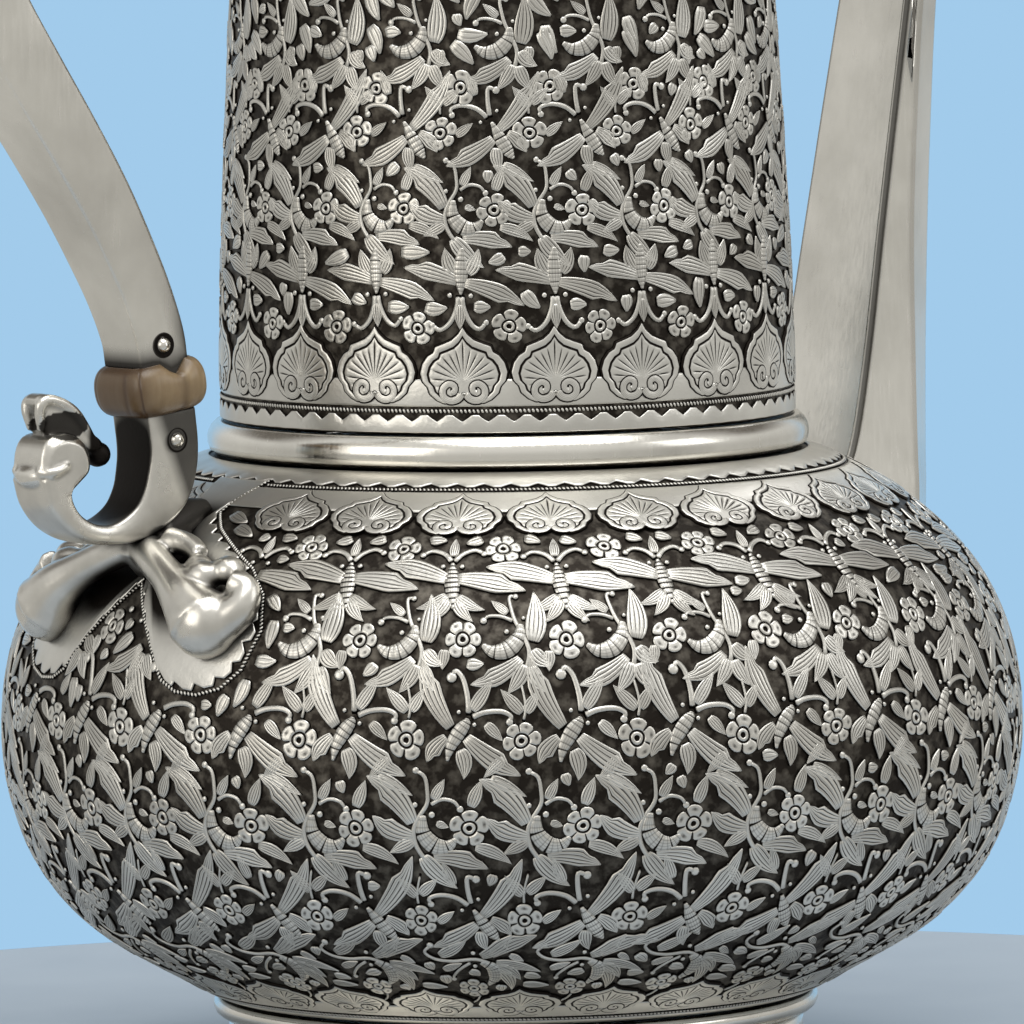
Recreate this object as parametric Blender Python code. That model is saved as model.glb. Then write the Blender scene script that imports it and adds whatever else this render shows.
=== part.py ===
"""Silver dallah coffee pot: a bulb-bellied vessel with a tall neck, hinged domed lid, straight faceted spout and a
hollow handle held off the body by two ivory insulators. Metres, +Z up, floor at z = 0, pot axis at x = y = 0,
spout toward +X, handle and lid hinge toward -X."""

import math

import bmesh
import bpy
from mathutils import Vector

MM = 0.001
SEGMENTS = 48            # sides of every large ring, the same for all so that neighbours keep their gaps
GAP = 0.3                # between neighbouring pieces

# ---------- driving dimensions, millimetres ----------
WALL = 1.3               # raised sheet of the belly
NECK_WALL = 1.1
FOOT_TOP_Z = 13.6        # underside of the belly where the foot is soldered
BELLY_TOP_Z = 95.3
RING_TOP_Z = 100.4
NECK_TOP_Z = 203.6
RIM_TOP_Z = 209.1
HINGE_X, HINGE_Z = -45.6, 210.2
HINGE_PIN_R = 0.8
LID_SEAT_Z = RIM_TOP_Z + GAP

BELLY_OUTER = [(0, 12.2), (20, 12.3), (36, 12.9), (44.9, 14.0), (52.5, 18.0), (58.4, 21.2), (63.0, 24.2),
               (67.2, 28.0), (70.6, 32.3), (73.3, 37.2), (75.2, 42.8), (76.4, 48.8), (76.7, 54.5), (76.3, 60.8),
               (75.0, 67.0), (72.8, 72.7), (69.9, 77.6), (66.0, 82.2), (61.4, 86.4), (56.0, 90.2), (50.0, 93.4),
               (46.6, 94.8), (44.2, BELLY_TOP_Z)]
BELLY_INNER = [(42.6, BELLY_TOP_Z), (42.9, 94.2), (48.9, 92.3), (55.0, 89.2), (60.5, 85.3), (65.1, 81.2),
               (69.0, 76.5), (73.6, 66.8), (75.4, 54.5), (73.9, 43.0), (69.5, 33.2), (62.1, 25.4), (51.9, 19.2),
               (44.5, 15.4), (30, 14.0), (0, 13.7)]
NECK_OUTER = [(43.1, RING_TOP_Z + GAP), (43.05, 110.0), (42.75, 124.0), (41.9, 141.0), (41.0, 158.0),
              (40.2, 172.0), (39.4, 188.0), (39.0, NECK_TOP_Z)]

SPOUT = [  # z, inner-face x, shoulder x of the side face, outer-face x, inner width, outer width
    (58.0, 40.0, 66.0, 74.6, 27.0, 14.0),
    (72.0, 45.5, 69.2, 76.2, 26.0, 13.0),
    (84.0, 53.0, 70.6, 77.2, 24.0, 12.0),
    (92.0, 58.2, 71.0, 77.6, 22.4, 11.2),
    (106.0, 62.0, 71.4, 78.2, 20.8, 10.3),
    (125.0, 65.6, 71.9, 79.2, 19.4, 9.5),
    (143.0, 69.0, 73.3, 80.4, 18.3, 9.0),
    (160.0, 72.3, 75.2, 81.8, 17.2, 8.7),
    (178.0, 75.8, 78.3, 84.2, 15.8, 8.2),
    (194.0, 79.4, 82.0, 87.4, 14.4, 7.6),
]
SPOUT_TIP = [  # centre x, centre z, lean from vertical in degrees, depth, inner width, outer width
    (89.2, 206.0, 27.0, 7.8, 13.4, 7.4),
    (95.7, 214.6, 40.0, 7.6, 12.8, 7.4),
    (102.87, 221.4, 46.0, 7.8, 12.6, 7.6),
]
SPOUT_WALL = 1.0

GRIP = [  # centre x, centre z, width across, depth
    (-66.98, 111.2, 9.7, 8.7), (-67.75, 116.0, 9.8, 8.7), (-70.0, 122.0, 10.3, 8.7), (-73.2, 128.5, 11.0, 8.8),
    (-77.6, 136.5, 11.4, 9.2), (-83.2, 145.3, 11.7, 9.6), (-89.4, 154.5, 12.0, 9.9), (-95.6, 164.2, 12.2, 10.0),
    (-100.2, 173.4, 12.2, 10.0), (-102.4, 182.0, 12.0, 9.9), (-101.2, 189.8, 11.6, 9.6), (-96.4, 195.3, 11.2, 9.3),
    (-89.2, 197.9, 10.8, 9.0), (-80.5, 198.3, 10.4, 8.8), (-72.0, 197.6, 9.9, 8.7), (-64.0, 196.8, 9.7, 8.7),
]
# insulator: centre, axis direction from the body toward the grip
LOWER_CENTRE, LOWER_AXIS = Vector((-66.4, 0, 107.6)), Vector((-0.16, 0, 0.987)).normalized()
UPPER_CENTRE, UPPER_AXIS = Vector((-60.4, 0, 196.4)), Vector((-0.995, 0, 0.10)).normalized()
INSULATOR_LONG, INSULATOR_WIDE = 6.5, 12.2
TENON_LONG, TENON_WIDE = 7.0, 5.4
RIVET_OUT = 7.1          # from the insulator's centre to each rivet, along its axis
RIVET_R, RIVET_HEAD_R = 0.8, 1.5

SCROLL = [  # centre x, centre z, width across, depth
    (-65.8, 104.0, 9.7, 8.7), (-65.2, 98.6, 9.6, 8.6), (-66.0, 93.2, 9.0, 8.0), (-69.3, 89.3, 8.2, 6.2),
    (-74.4, 87.6, 7.6, 4.9), (-79.6, 88.0, 7.4, 5.2), (-83.8, 90.8, 7.6, 6.6), (-86.0, 94.9, 8.0, 7.6),
    (-86.0, 99.0, 7.4, 7.4), (-84.8, 102.8, 5.6, 4.8), (-82.4, 105.4, 4.2, 2.8), (-79.6, 104.3, 3.4, 2.4),
    (-77.8, 101.8, 3.0, 2.4),
]


# ---------- scene and materials ----------
for thing in list(bpy.data.objects):
    bpy.data.objects.remove(thing, do_unlink=True)


def material(name, colour, metallic, roughness):
    made = bpy.data.materials.new(name)
    made.use_nodes = True
    shader = made.node_tree.nodes["Principled BSDF"]
    shader.inputs["Base Color"].default_value = (*colour, 1)
    shader.inputs["Metallic"].default_value = metallic
    shader.inputs["Roughness"].default_value = roughness
    made.diffuse_color = (*colour, 1)
    return made


CHASED = material("chased oxidised silver", (0.36, 0.35, 0.33), 1, 0.38)
PLAIN = material("polished plain silver", (0.82, 0.81, 0.78), 1, 0.2)
CAST = material("cast silver", (0.55, 0.54, 0.51), 1, 0.35)
IVORY = material("aged ivory", (0.62, 0.5, 0.34), 0, 0.45)
PIN = material("drawn silver wire", (0.7, 0.69, 0.66), 1, 0.3)


# ---------- mesh building ----------
def mesh_object(name, points, faces, mat, smooth=True):
    mesh = bpy.data.meshes.new(name)
    mesh.from_pydata([tuple(c * MM for c in p) for p in points], [], faces)
    work = bmesh.new()
    work.from_mesh(mesh)
    bmesh.ops.recalc_face_normals(work, faces=work.faces)
    if work.calc_volume(signed=True) < 0:
        bmesh.ops.reverse_faces(work, faces=work.faces)
    work.to_mesh(mesh)
    work.free()
    mesh.materials.append(mat)
    for face in mesh.polygons:
        face.use_smooth = smooth
    made = bpy.data.objects.new(name, mesh)
    bpy.context.scene.collection.objects.link(made)
    return made


def turned(name, profile, mat, segments=SEGMENTS, smooth=True):
    """A solid of revolution about Z from a closed (radius, z) outline; an outline point on the axis is one vertex."""
    points, rows = [], []
    for radius, z in profile:
        if radius < 1e-6:
            rows.append([len(points)])
            points.append((0, 0, z))
            continue
        rows.append(list(range(len(points), len(points) + segments)))
        points += [(radius * math.cos(2 * math.pi * k / segments), radius * math.sin(2 * math.pi * k / segments), z)
                   for k in range(segments)]
    faces = []
    for a, b in zip(rows, rows[1:] + rows[:1]):
        for k in range(segments):
            n = (k + 1) % segments
            if len(a) > 1 and len(b) > 1:
                faces.append((a[k], a[n], b[n], b[k]))
            elif len(a) > 1:
                faces.append((a[k], a[n], b[0]))
            elif len(b) > 1:
                faces.append((a[0], b[n], b[k]))
    return mesh_object(name, points, faces, mat, smooth)


def lofted(name, sections, mat, inner=None, smooth=False):
    """A solid through closed polygons of equal count. With inner sections it is a tube open at both ends."""
    count = len(sections[0])
    loops = list(sections) + (list(reversed(inner)) if inner else [])
    points = [p for loop in loops for p in loop]
    faces = []
    pairs = list(zip(range(len(loops)), range(1, len(loops))))
    if inner:
        pairs.append((len(loops) - 1, 0))
    for a, b in pairs:
        for k in range(count):
            n = (k + 1) % count
            faces.append((a * count + k, a * count + n, b * count + n, b * count + k))
    if not inner:
        faces.append(tuple(range(count)))
        faces.append(tuple(range((len(loops) - 1) * count, len(loops) * count)))
    return mesh_object(name, points, faces, mat, smooth)


def boolean(target, cutter, operation="DIFFERENCE"):
    step = target.modifiers.new(operation.title() + " " + cutter.name, "BOOLEAN")
    step.operation = operation
    step.solver = "EXACT"
    step.object = cutter
    cutter.hide_render = True
    cutter.display_type = "WIRE"


def bar(name, start, end, radius, mat, segments=16, start_radius=None):
    """A round bar between two points."""
    start, end = Vector(start), Vector(end)
    along = (end - start).normalized()
    side = along.orthogonal().normalized()
    other = along.cross(side)
    rings = []
    for centre, size in ((start, start_radius or radius), (end, radius)):
        rings.append([centre + size * (math.cos(t) * side + math.sin(t) * other)
                      for t in (2 * math.pi * k / segments for k in range(segments))])
    return lofted(name, rings, mat, smooth=True)


def box(name, low, high, mat):
    (ax, ay, az), (bx, by, bz) = low, high
    loop = [(ax, ay), (bx, ay), (bx, by), (ax, by)]
    return lofted(name, [[(x, y, az) for x, y in loop], [(x, y, bz) for x, y in loop]], mat)


def ball(name, centre, radius, mat, rings=8, segments=12):
    points = [tuple(Vector(centre) + Vector((0, 0, radius)))]
    for i in range(1, rings):
        t = math.pi * i / rings
        for k in range(segments):
            a = 2 * math.pi * k / segments
            points.append(tuple(Vector(centre) + radius * Vector((math.sin(t) * math.cos(a),
                                                                  math.sin(t) * math.sin(a), math.cos(t)))))
    points.append(tuple(Vector(centre) - Vector((0, 0, radius))))
    last = len(points) - 1
    faces = []
    for k in range(segments):
        n = (k + 1) % segments
        faces.append((0, 1 + k, 1 + n))
        for i in range(rings - 2):
            a, b = 1 + i * segments, 1 + (i + 1) * segments
            faces.append((a + k, b + k, b + n, a + n))
        faces.append((last, 1 + (rings - 2) * segments + n, 1 + (rings - 2) * segments + k))
    return mesh_object(name, points, faces, mat)


def radius_at(z, profile):
    rows = [(b, a) for a, b in profile]
    for (z0, r0), (z1, r1) in zip(rows, rows[1:]):
        if z0 <= z <= z1:
            return r0 + (r1 - r0) * (z - z0) / (z1 - z0)
    return rows[-1][1]


# ---------- vessel ----------
belly = turned("belly", BELLY_OUTER + BELLY_INNER, CHASED)
turned("neck_ring", [(41.7, BELLY_TOP_Z + GAP), (44.6, BELLY_TOP_Z + GAP), (45.1, 96.6), (45.25, 98.0),
                     (44.9, 99.4), (44.0, RING_TOP_Z), (41.7, RING_TOP_Z)], PLAIN)
neck = turned("neck", NECK_OUTER + [(r - NECK_WALL, z) for r, z in reversed(NECK_OUTER)], CHASED)
turned("mouth_rim", [(37.7, NECK_TOP_Z + GAP), (39.2, NECK_TOP_Z + GAP), (40.6, 204.8), (41.3, 206.3),
                     (41.2, 207.6), (40.3, 208.7), (39.3, RIM_TOP_Z), (37.7, RIM_TOP_Z)], PLAIN)
turned("foot_collar", [(40.4, 10.3), (43.8, 10.3), (45.3, 11.0), (45.7, 12.2), (44.6, 13.45), (40.4, 13.0)], PLAIN)
turned("foot_ring", [(42.1, 10.0), (41.3, 7.0), (42.6, 4.4), (45.2, 2.5), (46.4, 2.3), (46.4, 0.4), (47.4, 0.4),
                     (47.4, 3.3), (45.2, 4.4), (43.7, 6.4), (43.2, 8.4), (43.5, 10.0)], PLAIN)
turned("foot_wire", [(47.7, 0.0), (49.3, 0.0), (50.1, 0.9), (50.1, 2.0), (49.3, 2.9), (47.7, 3.0)], PLAIN)

# ---------- spout ----------


def spout_section(z, x_in, x_side, x_out, wide, narrow):
    return [(x_in, -wide / 2, z), (x_side, -wide / 2, z), (x_out, -narrow / 2, z),
            (x_out, narrow / 2, z), (x_side, wide / 2, z), (x_in, wide / 2, z)]


def tip_section(x, z, lean, depth, wide, narrow):
    along = Vector((math.cos(math.radians(lean)), 0, -math.sin(math.radians(lean))))
    offsets = [(-depth / 2, -wide / 2), (-depth / 8, -wide / 2), (depth / 2, -narrow / 2),
               (depth / 2, narrow / 2), (-depth / 8, wide / 2), (-depth / 2, wide / 2)]
    return [tuple(Vector((x, y, z)) + d * along) for d, y in offsets]


def shrunk(section, wall):
    centre = sum((Vector(p) for p in section), Vector()) / len(section)
    span = max((Vector(p) - centre).length for p in section)
    return [tuple(centre + (Vector(p) - centre) * (1 - 1.25 * wall / span)) for p in section]


spout_outer = [spout_section(*row) for row in SPOUT] + [tip_section(*row) for row in SPOUT_TIP]
spout_bore = [shrunk(section, SPOUT_WALL) for section in spout_outer]
spout = lofted("spout", spout_outer, PLAIN, inner=spout_bore)
belly_room = turned("belly_room", [(r + GAP, z) for r, z in BELLY_OUTER[3:]] + [(0, BELLY_TOP_Z), (0, 14.0)], CHASED)
boolean(spout, belly_room)
foot_of_spout = box("spout_below", (30, -20, 50), (85, 20, 66.0), CHASED)
boolean(spout, foot_of_spout)

lean = math.radians(SPOUT_TIP[-1][2])
out = Vector((math.sin(lean), 0, math.cos(lean)))
centre = Vector((SPOUT_TIP[-1][0], 0, SPOUT_TIP[-1][1]))


def lip_loop(size, along):
    return [tuple(centre + (Vector(p) - centre) * size + out * along) for p in spout_outer[-1]]


lofted("spout_lip", [lip_loop(1.03, GAP), lip_loop(1.16, GAP + 0.8), lip_loop(1.12, GAP + 1.7)], PLAIN,
       inner=[lip_loop(0.83, GAP), lip_loop(0.83, GAP + 0.8), lip_loop(0.86, GAP + 1.7)])

for k, (y, z) in enumerate([(0, 80.5)] + [(4.4 * math.cos(math.radians(60 * i)), 80.5 + 4.4 * math.sin(
        math.radians(60 * i))) for i in range(6)]):
    boolean(belly, bar(f"pouring_hole_{k + 1}", (50, y, z), (82, y, z), 1.5, PIN, segments=10))


# ---------- handle ----------
def eased(stations, steps=3):
    """More stations on a smooth curve through the given ones."""
    ends = [stations[0]] + list(stations) + [stations[-1]]
    made = []
    for k in range(len(stations) - 1):
        a, b, c, d = ends[k:k + 4]
        for i in range(steps):
            t = i / steps
            made.append(tuple(0.5 * (2 * q + (r - p) * t + (2 * p - 5 * q + 4 * r - s) * t ** 2
                                     + (3 * q - p - 3 * r + s) * t ** 3) for p, q, r, s in zip(a, b, c, d)))
    return made + [stations[-1]]


def swept(name, stations, mat, chamfer=1.0, smooth=False):
    """A faceted bar in the XZ plane; each section is a rectangle with cut corners, square to the path."""
    sections = []
    stations = eased(stations)
    for k, (x, z, wide, deep) in enumerate(stations):
        before = stations[max(k - 1, 0)]
        after = stations[min(k + 1, len(stations) - 1)]
        along = Vector((after[0] - before[0], 0, after[1] - before[1])).normalized()
        normal = Vector((along.z, 0, -along.x))
        c = min(chamfer, 0.3 * wide, 0.3 * deep)
        loop = [(-deep / 2, -wide / 2 + c), (-deep / 2 + c, -wide / 2), (deep / 2 - c, -wide / 2),
                (deep / 2, -wide / 2 + c), (deep / 2, wide / 2 - c), (deep / 2 - c, wide / 2),
                (-deep / 2 + c, wide / 2), (-deep / 2, wide / 2 - c)]
        sections.append([tuple(Vector((x, y, z)) + d * normal) for d, y in loop])
    return lofted(name, sections, mat, smooth=smooth)


def squared(name, centre, axis, levels, mat, chamfer=0.8):
    """A square block along an axis; levels are (distance along the axis, half width)."""
    side, across = Vector((axis.z, 0, -axis.x)), Vector((0, 1, 0))
    sections = []
    for distance, half in levels:
        c = min(chamfer, half * 0.4)
        loop = [(-half, -half + c), (-half + c, -half), (half - c, -half), (half, -half + c),
                (half, half - c), (half - c, half), (-half + c, half), (-half, half - c)]
        sections.append([tuple(centre + axis * distance + side * a + across * b) for a, b in loop])
    return lofted(name, sections, mat)


def socket(target, name, centre, axis, sign):
    """A square hole for a tenon, from the insulator's face outward."""
    half = TENON_WIDE / 2 + GAP / 2
    levels = [(sign * 3.0, half), (sign * (INSULATOR_LONG / 2 + TENON_LONG + GAP), half)]
    boolean(target, squared(name, centre, axis, levels, IVORY, chamfer=0.4))


def insulator(name, centre, axis):
    half, bulge = INSULATOR_LONG / 2, INSULATOR_WIDE / 2
    tenon, reach = TENON_WIDE / 2, INSULATOR_LONG / 2 + TENON_LONG
    made = squared(name, centre, axis, [(-reach, tenon), (-half, tenon), (-half + 0.01, bulge - 1.1),
                                        (-half + 1.4, bulge - 0.1), (0, bulge), (half - 1.4, bulge - 0.1),
                                        (half - 0.01, bulge - 1.1), (half, tenon), (reach, tenon)], IVORY)
    return made


def rivet(name, spot, half_width):
    """A headed pin through a socket and the tenon in it, along Y."""
    rows = [(0, -half_width - 1.0), (0.9, -half_width - 0.8), (RIVET_HEAD_R, -half_width - 0.15),
            (RIVET_R, -half_width - 0.15), (RIVET_R, half_width + 0.15), (RIVET_HEAD_R, half_width + 0.15),
            (0.9, half_width + 0.8), (0, half_width + 1.0)]
    pin = turned(name, rows, PIN, segments=12)
    for vertex in pin.data.vertices:
        x, y, z = vertex.co
        vertex.co = Vector((x, z, -y)) + Vector(spot) * MM
    return pin


def pin_hole(targets, name, spot, half_width):
    cutter = bar(name, Vector(spot) - Vector((0, half_width + 3, 0)), Vector(spot) + Vector((0, half_width + 3, 0)),
                 RIVET_R + 0.15, PIN, segments=12)
    for target in targets:
        boolean(target, cutter)


grip = swept("handle_grip", GRIP, PLAIN, chamfer=0.9)
lower_insulator = insulator("lower_insulator", LOWER_CENTRE, LOWER_AXIS)
upper_insulator = insulator("upper_insulator", UPPER_CENTRE, UPPER_AXIS)
socket(grip, "grip_lower_socket", LOWER_CENTRE, LOWER_AXIS, 1)
socket(grip, "grip_upper_socket", UPPER_CENTRE, UPPER_AXIS, 1)

scroll = swept("scroll_bracket", SCROLL, CAST, chamfer=1.4)
socket(scroll, "bracket_socket", LOWER_CENTRE, LOWER_AXIS, -1)
boolean(scroll, ball("scroll_cheek", (-87.4, 0, 96.2), 4.4, CAST), "UNION")
boolean(scroll, ball("scroll_bead", (-76.4, 0, 100.4), 2.1, CAST), "UNION")

neck_bracket = swept("neck_bracket", [(-38.0, 190.6, 15.0, 15.0), (-41.4, 192.4, 13.0, 11.4),
                                      (-45.8, 194.4, 10.4, 9.2), (-51.2, 195.2, 9.7, 8.7),
                                      (-56.3, 195.9, 9.7, 8.7)], CAST, chamfer=1.6)
neck_room = turned("neck_room", [(r + GAP, z) for r, z in NECK_OUTER] + [(0, NECK_TOP_Z), (0, RING_TOP_Z + GAP)],
                   CHASED)
boolean(neck_bracket, neck_room)
socket(neck_bracket, "neck_bracket_socket", UPPER_CENTRE, UPPER_AXIS, -1)

for label, centre_, axis_, inner_piece, block in (("lower", LOWER_CENTRE, LOWER_AXIS, scroll, lower_insulator),
                                                  ("upper", UPPER_CENTRE, UPPER_AXIS, neck_bracket, upper_insulator)):
    for end, sign, holder in (("body", -1, inner_piece), ("grip", 1, grip)):
        spot = centre_ + axis_ * RIVET_OUT * sign
        pin_hole([holder, block], f"{label}_{end}_pin_hole", spot, 4.9)
        rivet(f"{label}_{end}_rivet", spot, 4.92)

# ---------- cast mount between the scroll and the belly ----------
mount = bar("scroll_mount", (-59.0, 0, 78.0), (-71.4, 0, 85.5), 4.4, CAST, segments=14, start_radius=8.0)
for side, label in ((-1, "near"), (1, "far")):
    arm = bar(f"{label}_arm", (-68.0, side * 2.5, 83.6), (-70.9, side * 19.6, 75.8), 4.2, CAST, start_radius=3.6)
    boolean(mount, arm, "UNION")
    boolean(mount, ball(f"{label}_arm_end", (-70.9, side * 19.6, 75.6), 5.0, CAST), "UNION")
    boolean(mount, ball(f"{label}_knot", (-66.4, side * 17.0, 81.8), 3.0, CAST), "UNION")
boolean(mount, belly_room)
scroll_room = swept("scroll_room", [(x, z, w + 2 * GAP, d + 2 * GAP) for x, z, w, d in SCROLL[1:8]], CAST,
                    chamfer=1.4)
boolean(mount, scroll_room)

# ---------- lid ----------
LID_OUTER = [(40.6, LID_SEAT_Z), (41.5, 210.3), (41.2, 211.4), (39.4, 212.2), (38.2, 213.6), (36.4, 217.0),
             (33.2, 221.2), (28.6, 225.2), (22.6, 228.7), (15.4, 231.5), (8.4, 233.6), (5.2, 234.6), (1.7, 235.0)]
LID_INNER = [(1.7, 233.4), (5.0, 233.0), (8.0, 232.1), (14.8, 230.1), (21.8, 227.4), (27.6, 224.1), (32.1, 220.3),
             (35.2, 216.4), (36.8, 213.2), (37.0, LID_SEAT_Z)]
lid = turned("lid_dome", LID_OUTER + LID_INNER, CHASED)
turned("lid_bezel", [(35.6, 202.4), (36.7, 202.4), (36.7, 212.2), (35.6, 212.2)], PLAIN)
turned("finial_collar", [(1.7, 235.3), (6.2, 235.3), (7.0, 236.2), (6.2, 237.4), (4.2, 238.2), (1.7, 238.2)],
       PLAIN, segments=24)
turned("finial_bud", [(1.75, 238.5), (3.4, 238.5), (3.0, 240.4), (4.6, 243.0), (6.6, 247.0), (6.9, 250.4),
                      (5.6, 254.4), (3.0, 258.4), (1.4, 261.0), (0, 262.4), (0, 249.5), (1.75, 248.3)],
       CHASED, segments=24)
turned("finial_stud", [(0, 229.6), (1.4, 229.6), (1.4, 248.0), (0, 248.9)], PIN, segments=12)
turned("finial_nut", [(1.7, 230.6), (4.0, 230.6), (4.0, 232.4), (1.7, 232.7)], PIN, segments=6, smooth=False)

# ---------- hinge ----------
hinge = box("hinge_leaf_body", (-46.9, -6.2, 202.6), (-38.0, 6.2, 207.8), CAST)
rim_room = turned("rim_room", [(39.9, 203.2), (41.0, 204.6), (41.7, 206.3), (41.6, 207.8), (40.4, 209.2),
                               (0, 209.2), (0, 190.0), (39.7, 190.0)], CHASED)
boolean(hinge, rim_room)
for label, low, high in (("a", -6.2, -2.1), ("b", 2.1, 6.2)):
    boolean(hinge, bar(f"knuckle_{label}", (HINGE_X, low, HINGE_Z), (HINGE_X, high, HINGE_Z), 2.1, CAST, 14), "UNION")
    boolean(hinge, box(f"knuckle_{label}_web", (-46.7, low, 206.8), (-44.2, high, 210.0), CAST), "UNION")
boolean(hinge, bar("pin_room", (HINGE_X, -9, HINGE_Z), (HINGE_X, 9, HINGE_Z), HINGE_PIN_R + 0.15, PIN, 12))
boolean(hinge, bar("middle_knuckle_room", (HINGE_X, -2.05, HINGE_Z), (HINGE_X, 2.05, HINGE_Z), 2.4, CAST, 16))

leaf = bar("hinge_leaf_lid", (HINGE_X, -1.8, HINGE_Z), (HINGE_X, 1.8, HINGE_Z), 2.05, CAST, 14)
boolean(leaf, box("leaf_strap", (HINGE_X, -1.8, 210.3), (-39.0, 1.8, 212.2), CAST), "UNION")
TONGUE = [(-43.4, 1.6, 210.4, 212.2), (-41.0, 2.4, 210.6, 213.6), (-38.6, 3.4, 211.0, 216.6),
          (-36.0, 4.2, 213.0, 220.3), (-33.2, 3.2, 217.0, 223.0), (-31.2, 0.8, 220.0, 224.4)]
boolean(leaf, lofted("leaf_tongue", [[(x, -half, low), (x, half, low), (x, half, high), (x, -half, high)]
                                     for x, half, low, high in TONGUE], CAST), "UNION")
lid_room = turned("lid_room", [(41.0, 208.9)] + [(r + GAP, z + GAP) for r, z in LID_OUTER[1:-1]]
                  + [(0, 235.3), (0, 208.9)], CHASED)
boolean(leaf, lid_room)
boolean(leaf, bar("leaf_pin_room", (HINGE_X, -9, HINGE_Z), (HINGE_X, 9, HINGE_Z), HINGE_PIN_R + 0.15, PIN, 12))
bar("hinge_pin", (HINGE_X, -6.7, HINGE_Z), (HINGE_X, 6.7, HINGE_Z), HINGE_PIN_R, PIN, 12)

# ---------- the lid turns on the hinge pin ----------
swing = bpy.data.objects.new("lid_swing", None)
swing.location = (HINGE_X * MM, 0, HINGE_Z * MM)
bpy.context.scene.collection.objects.link(swing)
bpy.context.view_layer.update()
for name in ("lid_dome", "lid_bezel", "finial_collar", "finial_bud", "finial_stud", "finial_nut", "hinge_leaf_lid"):
    piece = bpy.data.objects[name]
    piece.parent = swing
    piece.matrix_parent_inverse = swing.matrix_world.inverted()
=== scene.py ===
"""Chased silver dallah with an ivory-insulated handle: its looks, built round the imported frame. Millimetres
in the tables, metres in the scene. Angles on a wall start at the handle side (-X) and grow toward -Y; a drop
is a distance measured down along the wall."""

import math

import bpy
import numpy as np
from mathutils import Matrix, Vector
from mathutils.kdtree import KDTree


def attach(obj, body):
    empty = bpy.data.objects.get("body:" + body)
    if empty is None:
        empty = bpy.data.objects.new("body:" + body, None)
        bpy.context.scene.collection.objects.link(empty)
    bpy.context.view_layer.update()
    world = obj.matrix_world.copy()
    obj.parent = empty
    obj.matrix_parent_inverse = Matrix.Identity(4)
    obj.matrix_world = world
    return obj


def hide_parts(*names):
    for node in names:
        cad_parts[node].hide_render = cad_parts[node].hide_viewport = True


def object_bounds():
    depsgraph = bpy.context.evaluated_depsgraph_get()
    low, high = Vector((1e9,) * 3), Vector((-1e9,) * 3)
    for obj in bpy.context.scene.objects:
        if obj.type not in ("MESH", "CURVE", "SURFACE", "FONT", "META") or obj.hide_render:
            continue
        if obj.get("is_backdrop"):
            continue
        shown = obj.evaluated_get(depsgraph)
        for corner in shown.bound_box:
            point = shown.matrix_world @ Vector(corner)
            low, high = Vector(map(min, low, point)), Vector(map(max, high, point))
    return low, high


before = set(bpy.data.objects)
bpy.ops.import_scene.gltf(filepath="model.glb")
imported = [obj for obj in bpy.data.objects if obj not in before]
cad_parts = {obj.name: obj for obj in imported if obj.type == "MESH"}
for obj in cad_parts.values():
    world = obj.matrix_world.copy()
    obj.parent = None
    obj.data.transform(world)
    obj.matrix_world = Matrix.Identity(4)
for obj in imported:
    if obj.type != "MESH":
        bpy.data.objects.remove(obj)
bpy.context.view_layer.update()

MM = 0.001
chance = np.random.default_rng(7)      # the small unevenness of hand work, the same at every run

# ---------- the turned walls, (radius, height) from the top down ----------
BELLY_LINE = [(44.2, 95.3), (46.6, 94.8), (50.0, 93.4), (56.0, 90.2), (61.4, 86.4), (66.0, 82.2),
              (69.9, 77.6), (72.8, 72.7), (75.0, 67.0), (76.3, 60.8), (76.7, 54.5), (76.4, 48.8),
              (75.2, 42.8), (73.3, 37.2), (70.6, 32.3), (67.2, 28.0), (63.0, 24.2), (58.4, 21.2),
              (52.5, 18.0), (44.9, 14.0), (36.0, 12.9)]
BELLY_INSIDE = [(0, 13.7), (30, 14.0), (44.5, 15.4), (51.9, 19.2), (62.1, 25.4), (69.5, 33.2), (73.9, 43.0),
                (75.2, 54.5), (73.6, 66.8), (69.0, 76.3), (65.1, 81.0), (60.5, 85.1), (55.0, 89.0),
                (48.9, 92.1), (42.9, 94.1), (42.6, 95.1)]
NECK_LINE = [(39.0, 203.6), (39.4, 188.0), (40.2, 172.0), (41.0, 158.0), (41.9, 141.0), (42.75, 124.0),
             (43.05, 110.0), (43.1, 100.7)]
LID_LINE = [(5.2, 234.6), (8.4, 233.6), (15.4, 231.5), (22.6, 228.7), (28.6, 225.2), (33.2, 221.2),
            (36.4, 217.0), (38.2, 213.6), (39.4, 212.2)]
LID_EDGE = [(41.2, 211.4), (41.5, 210.3), (40.6, 209.4), (37.0, 209.4), (36.8, 213.2), (35.2, 216.4),
            (32.1, 220.3), (27.6, 224.1), (21.8, 227.4), (14.8, 230.1), (8.0, 232.1), (5.0, 233.0),
            (1.7, 233.4), (1.7, 235.0)]
GROUND_DEPTH = 0.22      # the punched ground lies this far under the vessel's outline
TOP = 0.46               # height of the raised work over the ground
SUNK = -0.12             # its edges go this far into the ground


# ---------- small tools ----------
def linear(hex_colour):
    """An sRGB hex colour as the linear colour that a shader takes."""
    parts = [int(hex_colour[i:i + 2], 16) / 255 for i in (1, 3, 5)]
    return tuple(c / 12.92 if c <= 0.04045 else ((c + 0.055) / 1.055) ** 2.4 for c in parts) + (1.0,)


def full_turn(count):
    return np.linspace(0, 2 * math.pi, count, endpoint=False)


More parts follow.
